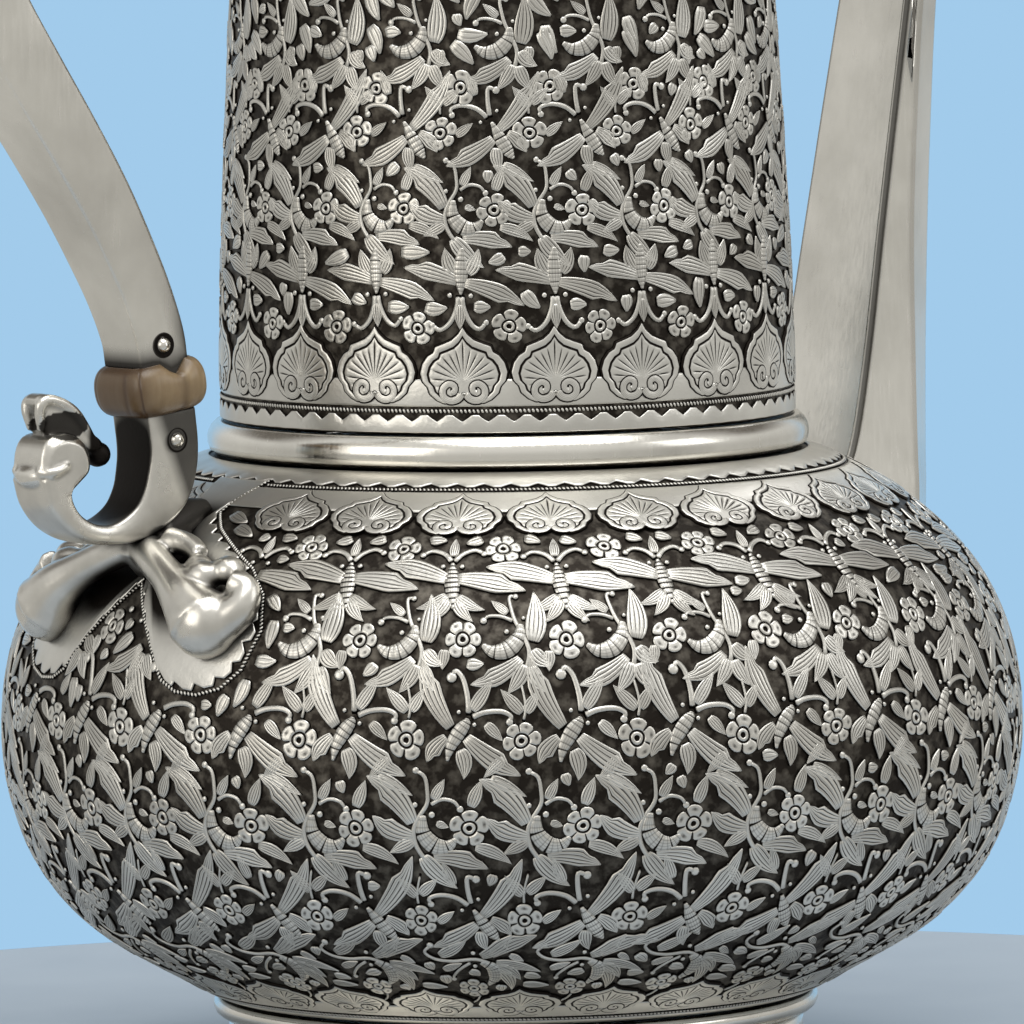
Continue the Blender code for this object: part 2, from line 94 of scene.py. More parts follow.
def curve_through(points, steps=6):
    """A denser line on a smooth curve through the points."""
    p = np.asarray(points, float)
    ends = np.vstack([2 * p[0] - p[1], p, 2 * p[-1] - p[-2]])
    t = np.linspace(0, 1, steps, endpoint=False)[:, None]
    rows = []
    for a, b, c, d in zip(ends, ends[1:], ends[2:], ends[3:]):
        rows.append(0.5 * (2 * b + (c - a) * t + (2 * a - 5 * b + 4 * c - d) * t ** 2
                           + (3 * b - a - 3 * c + d) * t ** 3))
    return np.vstack([*rows, p[-1:]])


def length_along(line):
    return np.concatenate([[0], np.cumsum(np.hypot(*np.diff(line, axis=0).T))])


def paced(line, count):
    """Points at equal steps along a line, from its first point to one step before its last."""
    length = length_along(line)
    t = np.linspace(0, length[-1], count, endpoint=False)
    return np.stack([np.interp(t, length, line[:, 0]), np.interp(t, length, line[:, 1])], -1)


def closed(line):
    return np.vstack([line, line[:1]])


def twice_area(line):
    """Twice the area inside a closed line, above zero when it runs counter-clockwise."""
    return np.sum(line[:, 0] * np.roll(line[:, 1], -1) - line[:, 1] * np.roll(line[:, 0], -1))


def spread(values, columns):
    """One value per row, repeated over the columns."""
    return np.repeat(np.array(values)[:, None], columns, 1)


def store(mesh, field, values):
    mesh.attributes.new(field, "FLOAT", "POINT").data.foreach_set("value", np.asarray(values, np.float32))


def grid_faces(rows, columns, ring=False, start=0):
    """Four-sided faces of a grid of points; a ring joins its last column to its first."""
    i, j = np.meshgrid(np.arange(rows - 1), np.arange(columns if ring else columns - 1), indexing="ij")
    k = (j + 1) % columns
    return start + np.stack([i * columns + j, (i + 1) * columns + j, (i + 1) * columns + k, i * columns + k],
                            -1).reshape(-1, 4)


def mesh_piece(name, points, quads, caps, finish, body="pot", replaces=(), fields=None):
    """A smooth-shaded piece from points in metres, four-sided faces and closing faces, riding on a body."""
    mesh = bpy.data.meshes.new(name)
    quads = np.asarray(quads, np.int32).reshape(-1, 4)
    corners = np.concatenate([quads.ravel(), *[np.asarray(c, np.int32) for c in caps]])
    sizes = np.concatenate([np.full(len(quads), 4), np.array([len(c) for c in caps], int)])
    mesh.vertices.add(len(points))
    mesh.vertices.foreach_set("co", np.asarray(points, np.float32).ravel())
    mesh.loops.add(len(corners))
    mesh.loops.foreach_set("vertex_index", corners)
    mesh.polygons.add(len(sizes))
    mesh.polygons.foreach_set("loop_start", np.concatenate([[0], np.cumsum(sizes)[:-1]]).astype(np.int32))
    mesh.polygons.foreach_set("use_smooth", np.ones(len(sizes), bool))
    mesh.update(calc_edges=True)
    for field, values in (fields or {}).items():
        store(mesh, field, values)
    return shown(name, mesh, finish, body, replaces)


def shown(name, mesh, finish, body, replaces):
    """Puts a mesh in the scene with its finish, its body and the nodes that it stands for."""
    material, slot = finish
    piece = bpy.data.objects.new(name, mesh)
    bpy.context.scene.collection.objects.link(piece)
    mesh.materials.clear()
    mesh.materials.append(material)
    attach(piece, body)
    if replaces:
        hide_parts(*replaces)
    return piece


# ---------- finishes ----------
def fill(node, sockets):
    """Puts a value, an sRGB hex colour or a link on each named socket of a node."""
    for name, value in sockets.items():
        if isinstance(value, bpy.types.NodeSocket):
            node.id_data.links.new(value, node.inputs[name])
        else:
            node.inputs[name].default_value = linear(value) if isinstance(value, str) else value


def add(tree, kind, out, sockets=None, **settings):
    """One node with its settings and its sockets filled; gives back its output."""
    made = tree.nodes.new("ShaderNode" + kind)
    for name, value in settings.items():
        setattr(made, name, value)
    fill(made, sockets or {})
    return made.outputs[out]


def new_finish(name):
    made = bpy.data.materials.new(name)
    made.use_nodes = True
    tree = made.node_tree
    return made, tree, tree.nodes["Principled BSDF"], add(tree, "TexCoord", "Object")


def chased_silver():
    """Sheet silver raised from behind, outlined with a chasing punch, blackened and rubbed back. The rubbed
    tops are a soft warm grey, the sides and engraved lines keep their black sulphide, and thin hair lines
    follow each leaf."""
    made, tree, shader, place = new_finish("Silver, chased, blackened and rubbed back")
    lift, across, tone = (add(tree, "Attribute", "Fac", attribute_name=field)
                          for field in ("lift", "across", "tone"))
    patches = add(tree, "TexNoise", "Fac", {"Vector": place, "Scale": 90.0, "Detail": 4.0})
    grain = add(tree, "TexNoise", "Fac", {"Vector": place, "Scale": 1900.0, "Detail": 3.0})
    rubbed = add(tree, "MapRange", "Result", {"Value": lift, "From Min": 0.2, "From Max": 0.4},
                 interpolation_type="SMOOTHSTEP")
    ripple = add(tree, "Math", 0, {0: across, 1: 19.0}, operation="MULTIPLY")
    hair = add(tree, "Math", 0, {0: ripple}, operation="SINE")
    line = add(tree, "MapRange", "Result", {"Value": hair, "From Min": 0.2, "To Min": 1.0, "To Max": 0.68})
    dulled = add(tree, "MapRange", "Result", {"Value": patches, "From Min": 0.35, "From Max": 0.7,
                                            "To Min": 0.8})
    clean = add(tree, "Math", 0, {0: rubbed, 1: dulled}, operation="MULTIPLY")
    clean = add(tree, "Math", 0, {0: clean, 1: line}, operation="MULTIPLY")
    silver = add(tree, "Mix", "Result", {"Factor": tone, "A": "#D8D5CD", "B": "#EBE9E2"}, data_type="RGBA")
    colour = add(tree, "Mix", "Result", {"Factor": clean, "A": "#231F1C", "B": silver}, data_type="RGBA")
    rough = add(tree, "MapRange", "Result", {"Value": clean, "To Min": 0.55, "To Max": 0.33})
    height = add(tree, "Math", 0, {0: line, 1: 0.7, 2: grain}, operation="MULTIPLY_ADD")
    bump = add(tree, "Bump", "Normal", {"Height": height, "Strength": 0.55, "Distance": 0.00006})
    fill(shader, {"Base Color": colour, "Roughness": rough, "Normal": bump, "Metallic": 1.0})
    return made


def matted_ground():
    """The ground between the motifs, pushed down and covered with blows of a small matting punch, then
    blackened: almost black, with softer grey where the black is worn. Inside the vessel the same sheet is
    plain and dull grey."""
    made, tree, shader, place = new_finish("Silver ground, matted with a punch and blackened")
    pits = add(tree, "TexVoronoi", "Distance", {"Vector": place, "Scale": 1500.0})
    patches = add(tree, "TexNoise", "Fac", {"Vector": place, "Scale": 520.0, "Detail": 3.0})
    lit = add(tree, "MapRange", "Result", {"Value": patches, "From Min": 0.45, "From Max": 0.75})
    black = add(tree, "Mix", "Result", {"Factor": lit, "A": "#2E2A26", "B": "#6A655D"}, data_type="RGBA")
    within = add(tree, "Attribute", "Fac", attribute_name="inside")
    dull = add(tree, "Mix", "Result", {"Factor": patches, "A": "#7D786F", "B": "#A9A59C"}, data_type="RGBA")
    colour = add(tree, "Mix", "Result", {"Factor": within, "A": black, "B": dull}, data_type="RGBA")
    bump = add(tree, "Bump", "Normal", {"Height": pits, "Strength": 0.35, "Distance": 0.0001})
    fill(shader, {"Base Color": colour, "Roughness": 0.5, "Normal": bump, "Metallic": 1.0})
    return made


def polished_silver(name, tarnish, rough):
    """Plain silver, planished and hand polished: bright, with a faint warm bloom in patches, hair scratches
    from cloths, and softly uneven reflections left by the hammer. Where `soot` says so it is darkened toward
    black: black kept on the grip and round the rivets, darker in the spout's quirk grooves and bore, and
    painted shade on the spout's two outer arrises."""
    made, tree, shader, place = new_finish(name)
    patches = add(tree, "TexNoise", "Fac", {"Vector": place, "Scale": 45.0, "Detail": 5.0})
    stretched = add(tree, "Mapping", "Vector", {"Vector": place, "Scale": (2200.0, 2200.0, 180.0)})
    hair = add(tree, "TexNoise", "Fac", {"Vector": stretched, "Scale": 1.0, "Detail": 2.0})
    blows = add(tree, "TexNoise", "Fac", {"Vector": place, "Scale": 120.0, "Detail": 1.0})
    bloom = add(tree, "MapRange", "Result", {"Value": patches, "From Min": 0.4, "From Max": 0.75})
    colour = add(tree, "Mix", "Result", {"Factor": bloom, "A": "#EDEAE2", "B": tarnish}, data_type="RGBA")
    black = add(tree, "Attribute", "Fac", attribute_name="soot")
    colour = add(tree, "Mix", "Result", {"Factor": black, "A": colour, "B": "#211E1C"}, data_type="RGBA")
    rough = add(tree, "MapRange", "Result", {"Value": hair, "From Min": 0.3, "From Max": 0.75, "To Min": 0.14,
                                             "To Max": rough})
    rough = add(tree, "Math", 0, {0: black, 1: 0.35, 2: rough}, operation="MULTIPLY_ADD")
    height = add(tree, "Math", 0, {0: hair, 1: 0.12, 2: blows}, operation="MULTIPLY_ADD")
    bump = add(tree, "Bump", "Normal", {"Height": height, "Strength": 0.25, "Distance": 0.0001})
    fill(shader, {"Base Color": colour, "Roughness": rough, "Normal": bump, "Metallic": 1.0})
    return made


def cast_silver():
    """Cast silver, cleaned up with files and blackened: hollows and creases stay dark, the bosses are rubbed
    bright, and the skin keeps a trace of the mould's sand."""
    made, tree, shader, place = new_finish("Silver, cast and blackened in its hollows")
    bend = add(tree, "NewGeometry", "Pointiness")
    patches = add(tree, "TexNoise", "Fac", {"Vector": place, "Scale": 160.0, "Detail": 5.0})
    sand = add(tree, "TexNoise", "Fac", {"Vector": place, "Scale": 1500.0, "Detail": 3.0})
    hollow = add(tree, "MapRange", "Result", {"Value": bend, "From Min": 0.44, "From Max": 0.5})
    near = add(tree, "AmbientOcclusion", "AO", {"Distance": 0.004}, samples=8)
    open_ = add(tree, "MapRange", "Result", {"Value": near, "From Min": 0.35, "From Max": 0.85})
    dulled = add(tree, "MapRange", "Result", {"Value": patches, "From Min": 0.3, "From Max": 0.7,
                                            "To Min": 0.75})
    black = add(tree, "Attribute", "Fac", attribute_name="soot")
    bare = add(tree, "Math", 0, {0: 1.0, 1: black}, operation="SUBTRACT")
    clean = hollow
    for share in (open_, dulled, bare):
        clean = add(tree, "Math", 0, {0: clean, 1: share}, operation="MULTIPLY")
    colour = add(tree, "Mix", "Result", {"Factor": clean, "A": "#23201E", "B": "#E2DFD7"}, data_type="RGBA")
    rough = add(tree, "MapRange", "Result", {"Value": clean, "To Min": 0.5, "To Max": 0.26})
    height = add(tree, "Math", 0, {0: sand, 1: 0.35, 2: patches}, operation="MULTIPLY_ADD")
    bump = add(tree, "Bump", "Normal", {"Height": height, "Strength": 0.3, "Distance": 0.00015})
    fill(shader, {"Base Color": colour, "Roughness": rough, "Normal": bump, "Metallic": 1.0})
    return made


def old_ivory():
    """Old ivory, sawn across and rounded by hand: cream to tan with fine lengthwise grain, stained brown in its
    drying cracks and along its edges, and browner over one side; slightly translucent under a soft polish."""
    made, tree, shader, place = new_finish("Ivory, aged and cracked")
    clouds = add(tree, "TexNoise", "Fac", {"Vector": place, "Scale": 190.0, "Detail": 5.0})
    tall = add(tree, "Mapping", "Vector", {"Vector": place, "Scale": (900.0, 900.0, 90.0)})
    streaks = add(tree, "TexNoise", "Fac", {"Vector": tall, "Scale": 1.0, "Detail": 4.0})
    stain = add(tree, "Attribute", "Fac", attribute_name="soot")
    cream = add(tree, "Mix", "Result", {"Factor": streaks, "A": "#806848", "B": "#BFAC8A"}, data_type="RGBA")
    cream = add(tree, "Mix", "Result", {"Factor": clouds, "A": "#6E583C", "B": cream}, data_type="RGBA")
    colour = add(tree, "Mix", "Result", {"Factor": stain, "A": cream, "B": "#3E2917"}, data_type="RGBA")
    bump = add(tree, "Bump", "Normal", {"Height": streaks, "Strength": 0.35, "Distance": 0.0001})
    rough = add(tree, "MapRange", "Result", {"Value": streaks, "To Min": 0.25, "To Max": 0.4})
    fill(shader, {"Base Color": colour, "Roughness": rough, "Normal": bump, "IOR": 1.54,
                  "Subsurface Weight": 0.12, "Subsurface Radius": (0.6, 0.4, 0.25),
                  "Subsurface Scale": 0.001})
    return made


# each finish with the record's slot that it belongs to
CHASED = chased_silver(), "chased_silver"
GROUND = matted_ground(), "chased_silver"
PLAIN = polished_silver("Silver sheet, hand polished", "#C8C5BD", 0.28), "plain_silver"
CAST = cast_silver(), "cast_silver"
IVORY = old_ivory(), "ivory"
WIRE = polished_silver("Silver wire, drawn and burnished", "#A09A90", 0.3), "silver_wire"


# ---------- walls that carry chased work ----------
class Wall:
    """A turned wall. A drop of zero lies at the chosen radius or height near its top, or at its first point."""

    def __init__(self, outline, zero_radius=None, zero_height=None):
        line = curve_through(outline, 8)
        self.drop = length_along(line)
        self.radius, self.height = line.T
        tangent = np.gradient(line, self.drop, axis=0)
        tangent /= np.hypot(*tangent.T)[:, None]
        self.out_r, self.out_z = -tangent[:, 1], tangent[:, 0]
        if zero_radius:
            self.drop -= self.drop[np.argmax(self.radius >= zero_radius)]
        if zero_height:
            self.drop -= np.interp(-zero_height, -self.height, self.drop)

    def at(self, angle, drop, lift):
        turn = np.radians(angle)
        r = np.interp(drop, self.drop, self.radius) + lift * np.interp(drop, self.drop, self.out_r)
        z = np.interp(drop, self.drop, self.height) + lift * np.interp(drop, self.drop, self.out_z)
        return np.stack([-r * np.cos(turn), -r * np.sin(turn), z], -1) * MM

    def radius_at(self, drop):
        return float(np.interp(drop, self.drop, self.radius))


class Patch:
    """Which places on a wall are taken, in half-millimetre rows, so that small leaves can fill what is
    bare."""

    CELL = 0.5
    COLUMNS = 1024

    def __init__(self, first, last):
        self.first = first
        self.rows = int((last - first) / self.CELL)
        self.taken = np.zeros((self.rows, self.COLUMNS), bool)

    def mark(self, angle, drop):
        row = ((drop - self.first) / self.CELL).astype(int)
        column = (angle / 360 * self.COLUMNS).astype(int) % self.COLUMNS
        on_patch = (row >= 0) & (row < self.rows)
        self.taken[row[on_patch], column[on_patch]] = True

    def closed_up(self):
        """What is taken, with the pinholes between neighbouring marks filled."""
        grown = self.taken | np.roll(self.taken, 1, 1) | np.roll(self.taken, -1, 1)
        grown[1:] |= grown[:-1].copy()
        grown[:-1] |= grown[1:].copy()
        return grown


class Relief:
    """Raised work on one wall, gathered piece by piece into one mesh."""

    def __init__(self, wall, patch=None, bare=()):
        self.wall, self.patch, self.bare = wall, patch, bare
        self.points, self.quads, self.caps, self.fields, self.count = [], [], [], [], 0

    def is_bare(self, angle, drop):
        return any(keep_out(angle, drop) for keep_out in self.bare)

    def lay(self, spot, x, y, lift, across=0.0, ring=False, tone=None, rubbed=None):
        """One closed form: a grid of points over the ground, with its underside closed. Where `rubbed` is lower
        than the lift, the black stays in a cut line; the plates also use it for painted shade under the mount
        and the spout."""
        angle = spot.angle + np.degrees(x / spot.radius)
        drop = spot.drop + y
        rows, columns = x.shape
        middle = columns // 2
        if self.is_bare(angle[::2, middle], drop[::2, middle]):
            return
        index = self.count + np.arange(rows * columns).reshape(rows, columns)
        if ring:
            self.caps += [index[0], index[-1][::-1]]
        else:
            self.caps.append(np.concatenate([index[0], index[1:, -1], index[-1, -2::-1], index[-2:0:-1, 0]]))
        shade = chance.uniform(0, 1) if tone is None else tone
        rubbed = lift if rubbed is None else np.minimum(lift, rubbed)
        self.keep(angle, drop, self.wall.at(angle, drop, lift - GROUND_DEPTH),
                  grid_faces(rows, columns, ring), rubbed, np.broadcast_to(across, x.shape), shade)

    def keep(self, angle, drop, points, quads, rubbed, across, shade):
        self.points.append(points.reshape(-1, 3))
        self.quads.append(self.count + quads)
        self.fields.append(np.stack([rubbed.ravel(), across.ravel(), np.full(rubbed.size, shade)]))
        self.count += rubbed.size
        if self.patch:
            self.patch.mark(angle.ravel(), drop.ravel())

    def build(self, name, body="pot"):
        lift, across, tone = np.concatenate(self.fields, 1)
        return mesh_piece(name, np.concatenate(self.points), np.concatenate(self.quads), self.caps, CHASED,
                          body, fields={"lift": lift, "across": across, "tone": tone})


class Spot:
    """Where one motif sits: the motif's own point `origin` goes to this angle and drop."""

    def __init__(self, relief, angle, drop, origin=(0, 0), size=1.0, radius=None, wide=1.0, uneven=1.0):
        self.relief = relief
        self.angle = angle + uneven * chance.uniform(-0.18, 0.18)
        self.drop = drop + uneven * chance.uniform(-0.15, 0.15)
        self.origin, self.wide = np.array(origin, float), wide
        self.size = size * (1 + uneven * chance.uniform(-0.03, 0.03))
        self.radius = radius or relief.wall.radius_at(drop)
        turn = math.radians(uneven * chance.uniform(-2.5, 2.5))
        self.turn = np.array([[math.cos(turn), math.sin(turn)], [-math.sin(turn), math.cos(turn)]])

    def local(self, points):
        return (np.asarray(points, float) - self.origin) * (self.wide, 1) * self.size @ self.turn


# ---------- the chaser's vocabulary; x to the right, y down, millimetres ----------
LEAF_ACROSS = np.array([-1, -0.9, -0.7, -0.6, -0.5, -0.3, -0.2, -0.1, 0.1, 0.2, 0.3, 0.5, 0.6, 0.7, 0.9, 1])
LEAF_CUT = np.array([0, 0, 0, 1, 0, 0, 0.9, 0, 0, 0.9, 0, 0, 1, 0, 0, 0])
SMALL_LEAF_ACROSS = np.array([-1, -0.88, -0.5, -0.36, -0.22, 0.22, 0.36, 0.5, 0.88, 1])
SMALL_LEAF_CUT = np.array([0, 0, 0, 1, 0, 0, 1, 0, 0, 0])
LEAF_ALONG = np.array([0, 0.05, 0.13, 0.24, 0.36, 0.47, 0.53, 0.62, 0.74, 0.85, 0.94, 0.985, 1])
SMALL_LEAF_ALONG = np.array([0, 0.08, 0.24, 0.42, 0.6, 0.78, 0.92, 1])
ROUND_ACROSS = np.array([-1, -0.72, 0, 0.72, 1])
WING_ALONG = (0, 0.05, 0.16, 0.35, 0.52, 0.64, 0.8, 0.93, 1)
WING_FULL = (0.34, 0.5, 0.68, 0.88, 1.0, 0.98, 0.62, 0.24, 0.0)
WIDER = 1.3              # how much broader leaves and wings are cut than the widths given below


def ribbon(spot, line, half_left, half_right, across, lift, tone=None, rubbed=None):
    """A form laid along a line, with its own half width on each side."""
    tangent = np.gradient(line, axis=0)
    tangent /= np.hypot(*tangent.T)[:, None] + 1e-9
    side = np.stack([tangent[:, 1], -tangent[:, 0]], -1)
    reach = np.where(across[None, :] < 0, half_left[:, None], half_right[:, None]) * across[None, :]
    x = line[:, 0:1] + side[:, 0:1] * reach
    y = line[:, 1:2] + side[:, 1:2] * reach
    spot.relief.lay(spot, x, y, lift, across, tone=tone, rubbed=rubbed)


def leaf(spot, base, tip, width, bend=0.0, notch=0, small=False):
    """A pointed leaf or wing with cut lines along it; a notch of +1 or -1 makes one edge ragged."""
    a, b = spot.local([base, tip])
    t = SMALL_LEAF_ALONG if small else LEAF_ALONG
    across, cuts = (SMALL_LEAF_ACROSS, SMALL_LEAF_CUT) if small else (LEAF_ACROSS, LEAF_CUT)
    along = b - a
    side = np.array([along[1], -along[0]])
    line = a + along * t[:, None] + side * (bend * 4 * t * (1 - t))[:, None]
    if notch:
        full = np.interp(t, WING_ALONG, WING_FULL)
    else:
        full = np.sin(math.pi * np.clip(t, 0.012, 0.994) ** 0.68) ** (0.62 + 0.38 * t)
    half = 0.5 * width * WIDER * spot.size * np.maximum(full, 0.035)
    nick = 1 - 0.34 * np.exp(-((t - 0.76) / 0.07) ** 2) + 0.08 * np.exp(-((t - 0.6) / 0.07) ** 2)
    left, right = (half * nick if notch < 0 else half), (half * nick if notch > 0 else half)
    crown = TOP - 0.03 * across ** 2
    reach = np.clip(np.sin(math.pi * np.clip(t, 0.06, 0.9)) * 1.5, 0, 1)[:, None]
    cut = (0.06 if small else 0.09) * cuts[None, :] * reach
    lift = np.repeat(crown[None, :], len(t), 0) * np.interp(t, (0, 0.2, 1), (0.86, 1, 0.97))[:, None] - cut
    lift[:, [0, -1]] = SUNK
    lift[[0, -1]] = SUNK
    ribbon(spot, line, left, right, across, lift, rubbed=lift - 2.2 * cut)


def stem(spot, points, width=0.95, knob=0.0):
    """A raised stem through the points, thinner toward its end, with a round knob there if it has one."""
    line = curve_through(spot.local(points), 4)
    t = np.linspace(0, 1, len(line))
    half = 0.58 * width * spot.size * (1 - 0.25 * t)
    lift = np.tile(np.array([SUNK, 0.36, 0.45, 0.36, SUNK]), (len(line), 1))
    lift[[0, -1]] = SUNK
    ribbon(spot, line, half, half, ROUND_ACROSS, lift, tone=0.6)
    if knob:
        bead(spot, points[-1], knob * 1.15)


def bead(spot, centre, radius, stretch=1.0, turn=0.0, top=TOP, columns=10):
    """A small round or oval boss."""
    c = spot.local([centre])[0]
    rings = np.array([0.12, 0.5, 0.8, 1.0])
    lifts = [top, top * 0.95, top * 0.7, SUNK]
    phi = -full_turn(columns)
    r = radius * spot.size
    u, v = rings[:, None] * np.cos(phi) * r * stretch, rings[:, None] * np.sin(phi) * r
    k = math.radians(turn)
    x, y = c[0] + u * math.cos(k) - v * math.sin(k), c[1] + u * math.sin(k) + v * math.cos(k)
    spot.relief.lay(spot, x, y, spread(lifts, columns), ring=True, tone=0.7)


def ribbed(spot, points, width, ribs, taper=(0.35, 0.45)):
    """A dragonfly's body or a horn: a swelling form ringed with ribs."""
    line = curve_through(spot.local(points), 40 // (len(points) - 1))
    t = np.linspace(0, 1, len(line))
    swell = np.sin(math.pi * (0.12 + 0.82 * t)) ** 0.6
    start, end = taper
    swell *= np.where(t < 0.5, 1 - (1 - start) * (1 - t / 0.5) ** 2, 1 - (1 - end) * ((t - 0.5) / 0.5) ** 2)
    ripple = np.abs(np.sin(math.pi * ribs * t))
    half = 0.5 * width * 1.5 * spot.size * np.maximum(swell, 0.12)
    across = np.array([-1, -0.84, -0.4, 0, 0.4, 0.84, 1])
    arch = np.array([0, 0.72, 0.95, 1, 0.95, 0.72, 0])
    lift = (0.44 + 0.12 * ripple ** 0.5)[:, None] * arch[None, :]
    lift[:, [0, -1]] = SUNK
    lift[[0, -1]] = SUNK
    ribbon(spot, line, half, half, across, lift, tone=0.5, rubbed=(0.1 + 0.42 * ripple ** 0.6)[:, None])


def flower(spot, centre, radius=3.0, turn=0.0):
    """An open flower: rounded petals, each with a punched dimple, parted down to a ringed eye."""
    c = spot.local([centre])[0]
    petals = int(chance.choice([5, 5, 6]))
    per = 10 if petals == 5 else 8
    steps = np.linspace(0, petals, petals * per, endpoint=False)
    aside = ((steps + 0.5) % 1 - 0.5) * 2
    place = 1 - (1 - np.abs(aside)) ** 1.5
    phi = -((steps - aside / 2 + np.sign(aside) * place / 2) * 2 * math.pi / petals + math.radians(turn))
    lobe = np.sqrt(np.clip(1 - place ** 2.4, 0, 1))
    uneven = 1 + 0.04 * np.sin(phi * 2 + chance.uniform(0, 6)) + 0.03 * np.sin(phi * 3 + chance.uniform(0, 6))
    shares = np.array([0.04, 0.12, 0.15, 0.2, 0.28, 0.31, 0.38, 0.42, 0.52, 0.6, 0.68, 0.76, 0.84, 0.93, 1.0])
    lifts = [0.05, 0.08, 0.4, 0.43, 0.4, 0.18, 0.18, 0.4, 0.43, 0.43, 0.43, 0.43, 0.43, 0.42, SUNK]
    round_ = np.clip((shares - 0.4) / 0.5, 0, 1)[:, None]
    outline = (1 - round_) + round_ * (0.66 + 0.34 * lobe)[None, :]
    r = radius * spot.size * shares[:, None] * outline * uneven
    lift = spread(lifts, len(phi))
    parting = np.exp(-((1 - place) / 0.09) ** 2)[None, :] * np.clip((shares - 0.4) / 0.1, 0, 1)[:, None]
    dimple = np.exp(-(place / 0.42) ** 2)[None, :] * np.exp(-((shares - 0.72) / 0.1) ** 2)[:, None]
    lift = np.where(shares[:, None] < 1, lift - 0.2 * parting - 0.05 * dimple, lift)
    x, y = c[0] + np.cos(phi) * r, c[1] + np.sin(phi) * r
    spot.relief.lay(spot, x, y, lift, ring=True, rubbed=lift - 0.15 * dimple - 0.3 * parting)


PALMETTE_HALF = [(0, 0), (0.7, 1.0), (1.7, 1.8), (3.0, 2.3), (4.2, 2.7), (4.5, 3.5), (5.4, 4.0), (6.2, 5.0),
                 (6.6, 6.3), (6.3, 7.5), (5.5, 8.3), (5.2, 9.2), (4.1, 10.1), (2.9, 10.6), (1.9, 10.5),
                 (0.9, 9.8), (0, 9.3)]
VOLUTE_ACROSS = np.array([-1, -0.82, -0.58, 0, 0.58, 0.82, 1])
VOLUTE = [(0.3, 9.1), (0.9, 9.8), (2.0, 10.0), (2.9, 9.4), (2.9, 8.4), (2.1, 7.8), (1.3, 8.1), (1.3, 8.8),
          (1.8, 9.0)]


def palmette(spot, flip=1):
    """A heart-shaped palmette with a fine rim, a fan of thin cut lines and two curled volutes at its foot;
    the black stays in a line right round it."""
    heart = np.array([0.0, 7.6])
    half = np.array(PALMETTE_HALF, float)
    out = paced(closed(np.vstack([half, (half * (-1, 1))[-2:0:-1]])), 168) - heart
    shares = np.array([0.03, 0.08, 0.16, 0.26, 0.38, 0.5, 0.6, 0.68, 0.73, 0.76, 0.79, 0.81, 0.85, 0.9, 0.925,
                       0.945, 0.97, 1.0])
    p = heart + shares[:, None, None] * out[None]
    angle = np.degrees(np.arctan2(out[:, 0], -out[:, 1]))
    upper = np.clip((112 - np.abs(angle)) / 10, 0, 1)
    fan = np.abs(np.cos(np.radians(angle) * 180 / 14.0)) ** 10 * upper
    base = np.array([0.46] * 9 + [0.4, 0.4, 0.48, 0.5, 0.5, 0.47, 0.38, 0.36, SUNK])
    black = np.array([1.0] * 9 + [0.1, 0.1, 1, 1, 1, 1, 0.08, 0.05, 0])
    fanned = np.array([0, 0.2, 0.6, 0.9, 1, 1, 0.9, 0.6, 0.2, 0, 0, 0, 0, 0, 0, 0, 0, 0])
    cut = fanned[:, None] * fan[None, :]
    for side in (-1, 1):
        cut = cut * np.clip((np.hypot(p[..., 0] - side * 1.7, p[..., 1] - 8.9) - 1.5) / 0.4, 0, 1)
    lift = base[:, None] - 0.09 * cut
    rubbed = np.minimum(black[:, None], 0.5 - 0.38 * cut)
    local = spot.local(p.reshape(-1, 2) * (1, flip)).reshape(p.shape)
    if flip > 0:
        local, lift, rubbed = local[:, ::-1], lift[:, ::-1], rubbed[:, ::-1]
    spot.relief.lay(spot, local[..., 0], local[..., 1], lift, ring=True, tone=0.8, rubbed=rubbed)
    for side in (-1, 1):
        line = curve_through(spot.local([(side * x, flip * y) for x, y in VOLUTE]), 3)
        half = 0.62 * spot.size * np.linspace(1.1, 0.8, len(line))
        ribbon(spot, line, half, half, VOLUTE_ACROSS, np.tile([0.475, 0.475, 0.53, 0.56, 0.53, 0.475, 0.475],
                                                              (len(line), 1)), tone=0.8,
               rubbed=np.tile([0, 0, 0.6, 0.8, 0.6, 0, 0], (len(line), 1)))


# ---------- motifs ----------
def dragonfly_head_up(spot):
    ribbed(spot, [(0, 0.2), (0.2, 4.0), (0.7, 8.8)], 1.75, 10)
    stem(spot, [(0, 0.2), (-1.4, -1.5), (-3.4, -2.1), (-4.8, -1.3)], knob=0.55)
    stem(spot, [(0, 0.2), (1.4, -1.5), (3.3, -2.3), (4.7, -1.6)], knob=0.55)
    for x in (-1.45, 1.45):
        bead(spot, (x, 0.9), 0.5)
    leaf(spot, (0, -0.9), (0.1, -4.6), 1.35)
    leaf(spot, (-0.1, 3.6), (-10.6, 0.6), 2.9, -0.05, notch=1)
    leaf(spot, (0.3, 3.2), (11.0, 5.6), 2.9, 0.05, notch=1)
    leaf(spot, (-0.2, 6.0), (-4.6, 8.6), 1.6, 0.1)
    leaf(spot, (-0.1, 6.6), (-2.6, 10.6), 1.6, 0.08)
    leaf(spot, (0.9, 6.2), (5.2, 8.8), 1.6, -0.1)
    leaf(spot, (0.9, 6.8), (3.6, 10.8), 1.6, -0.08)


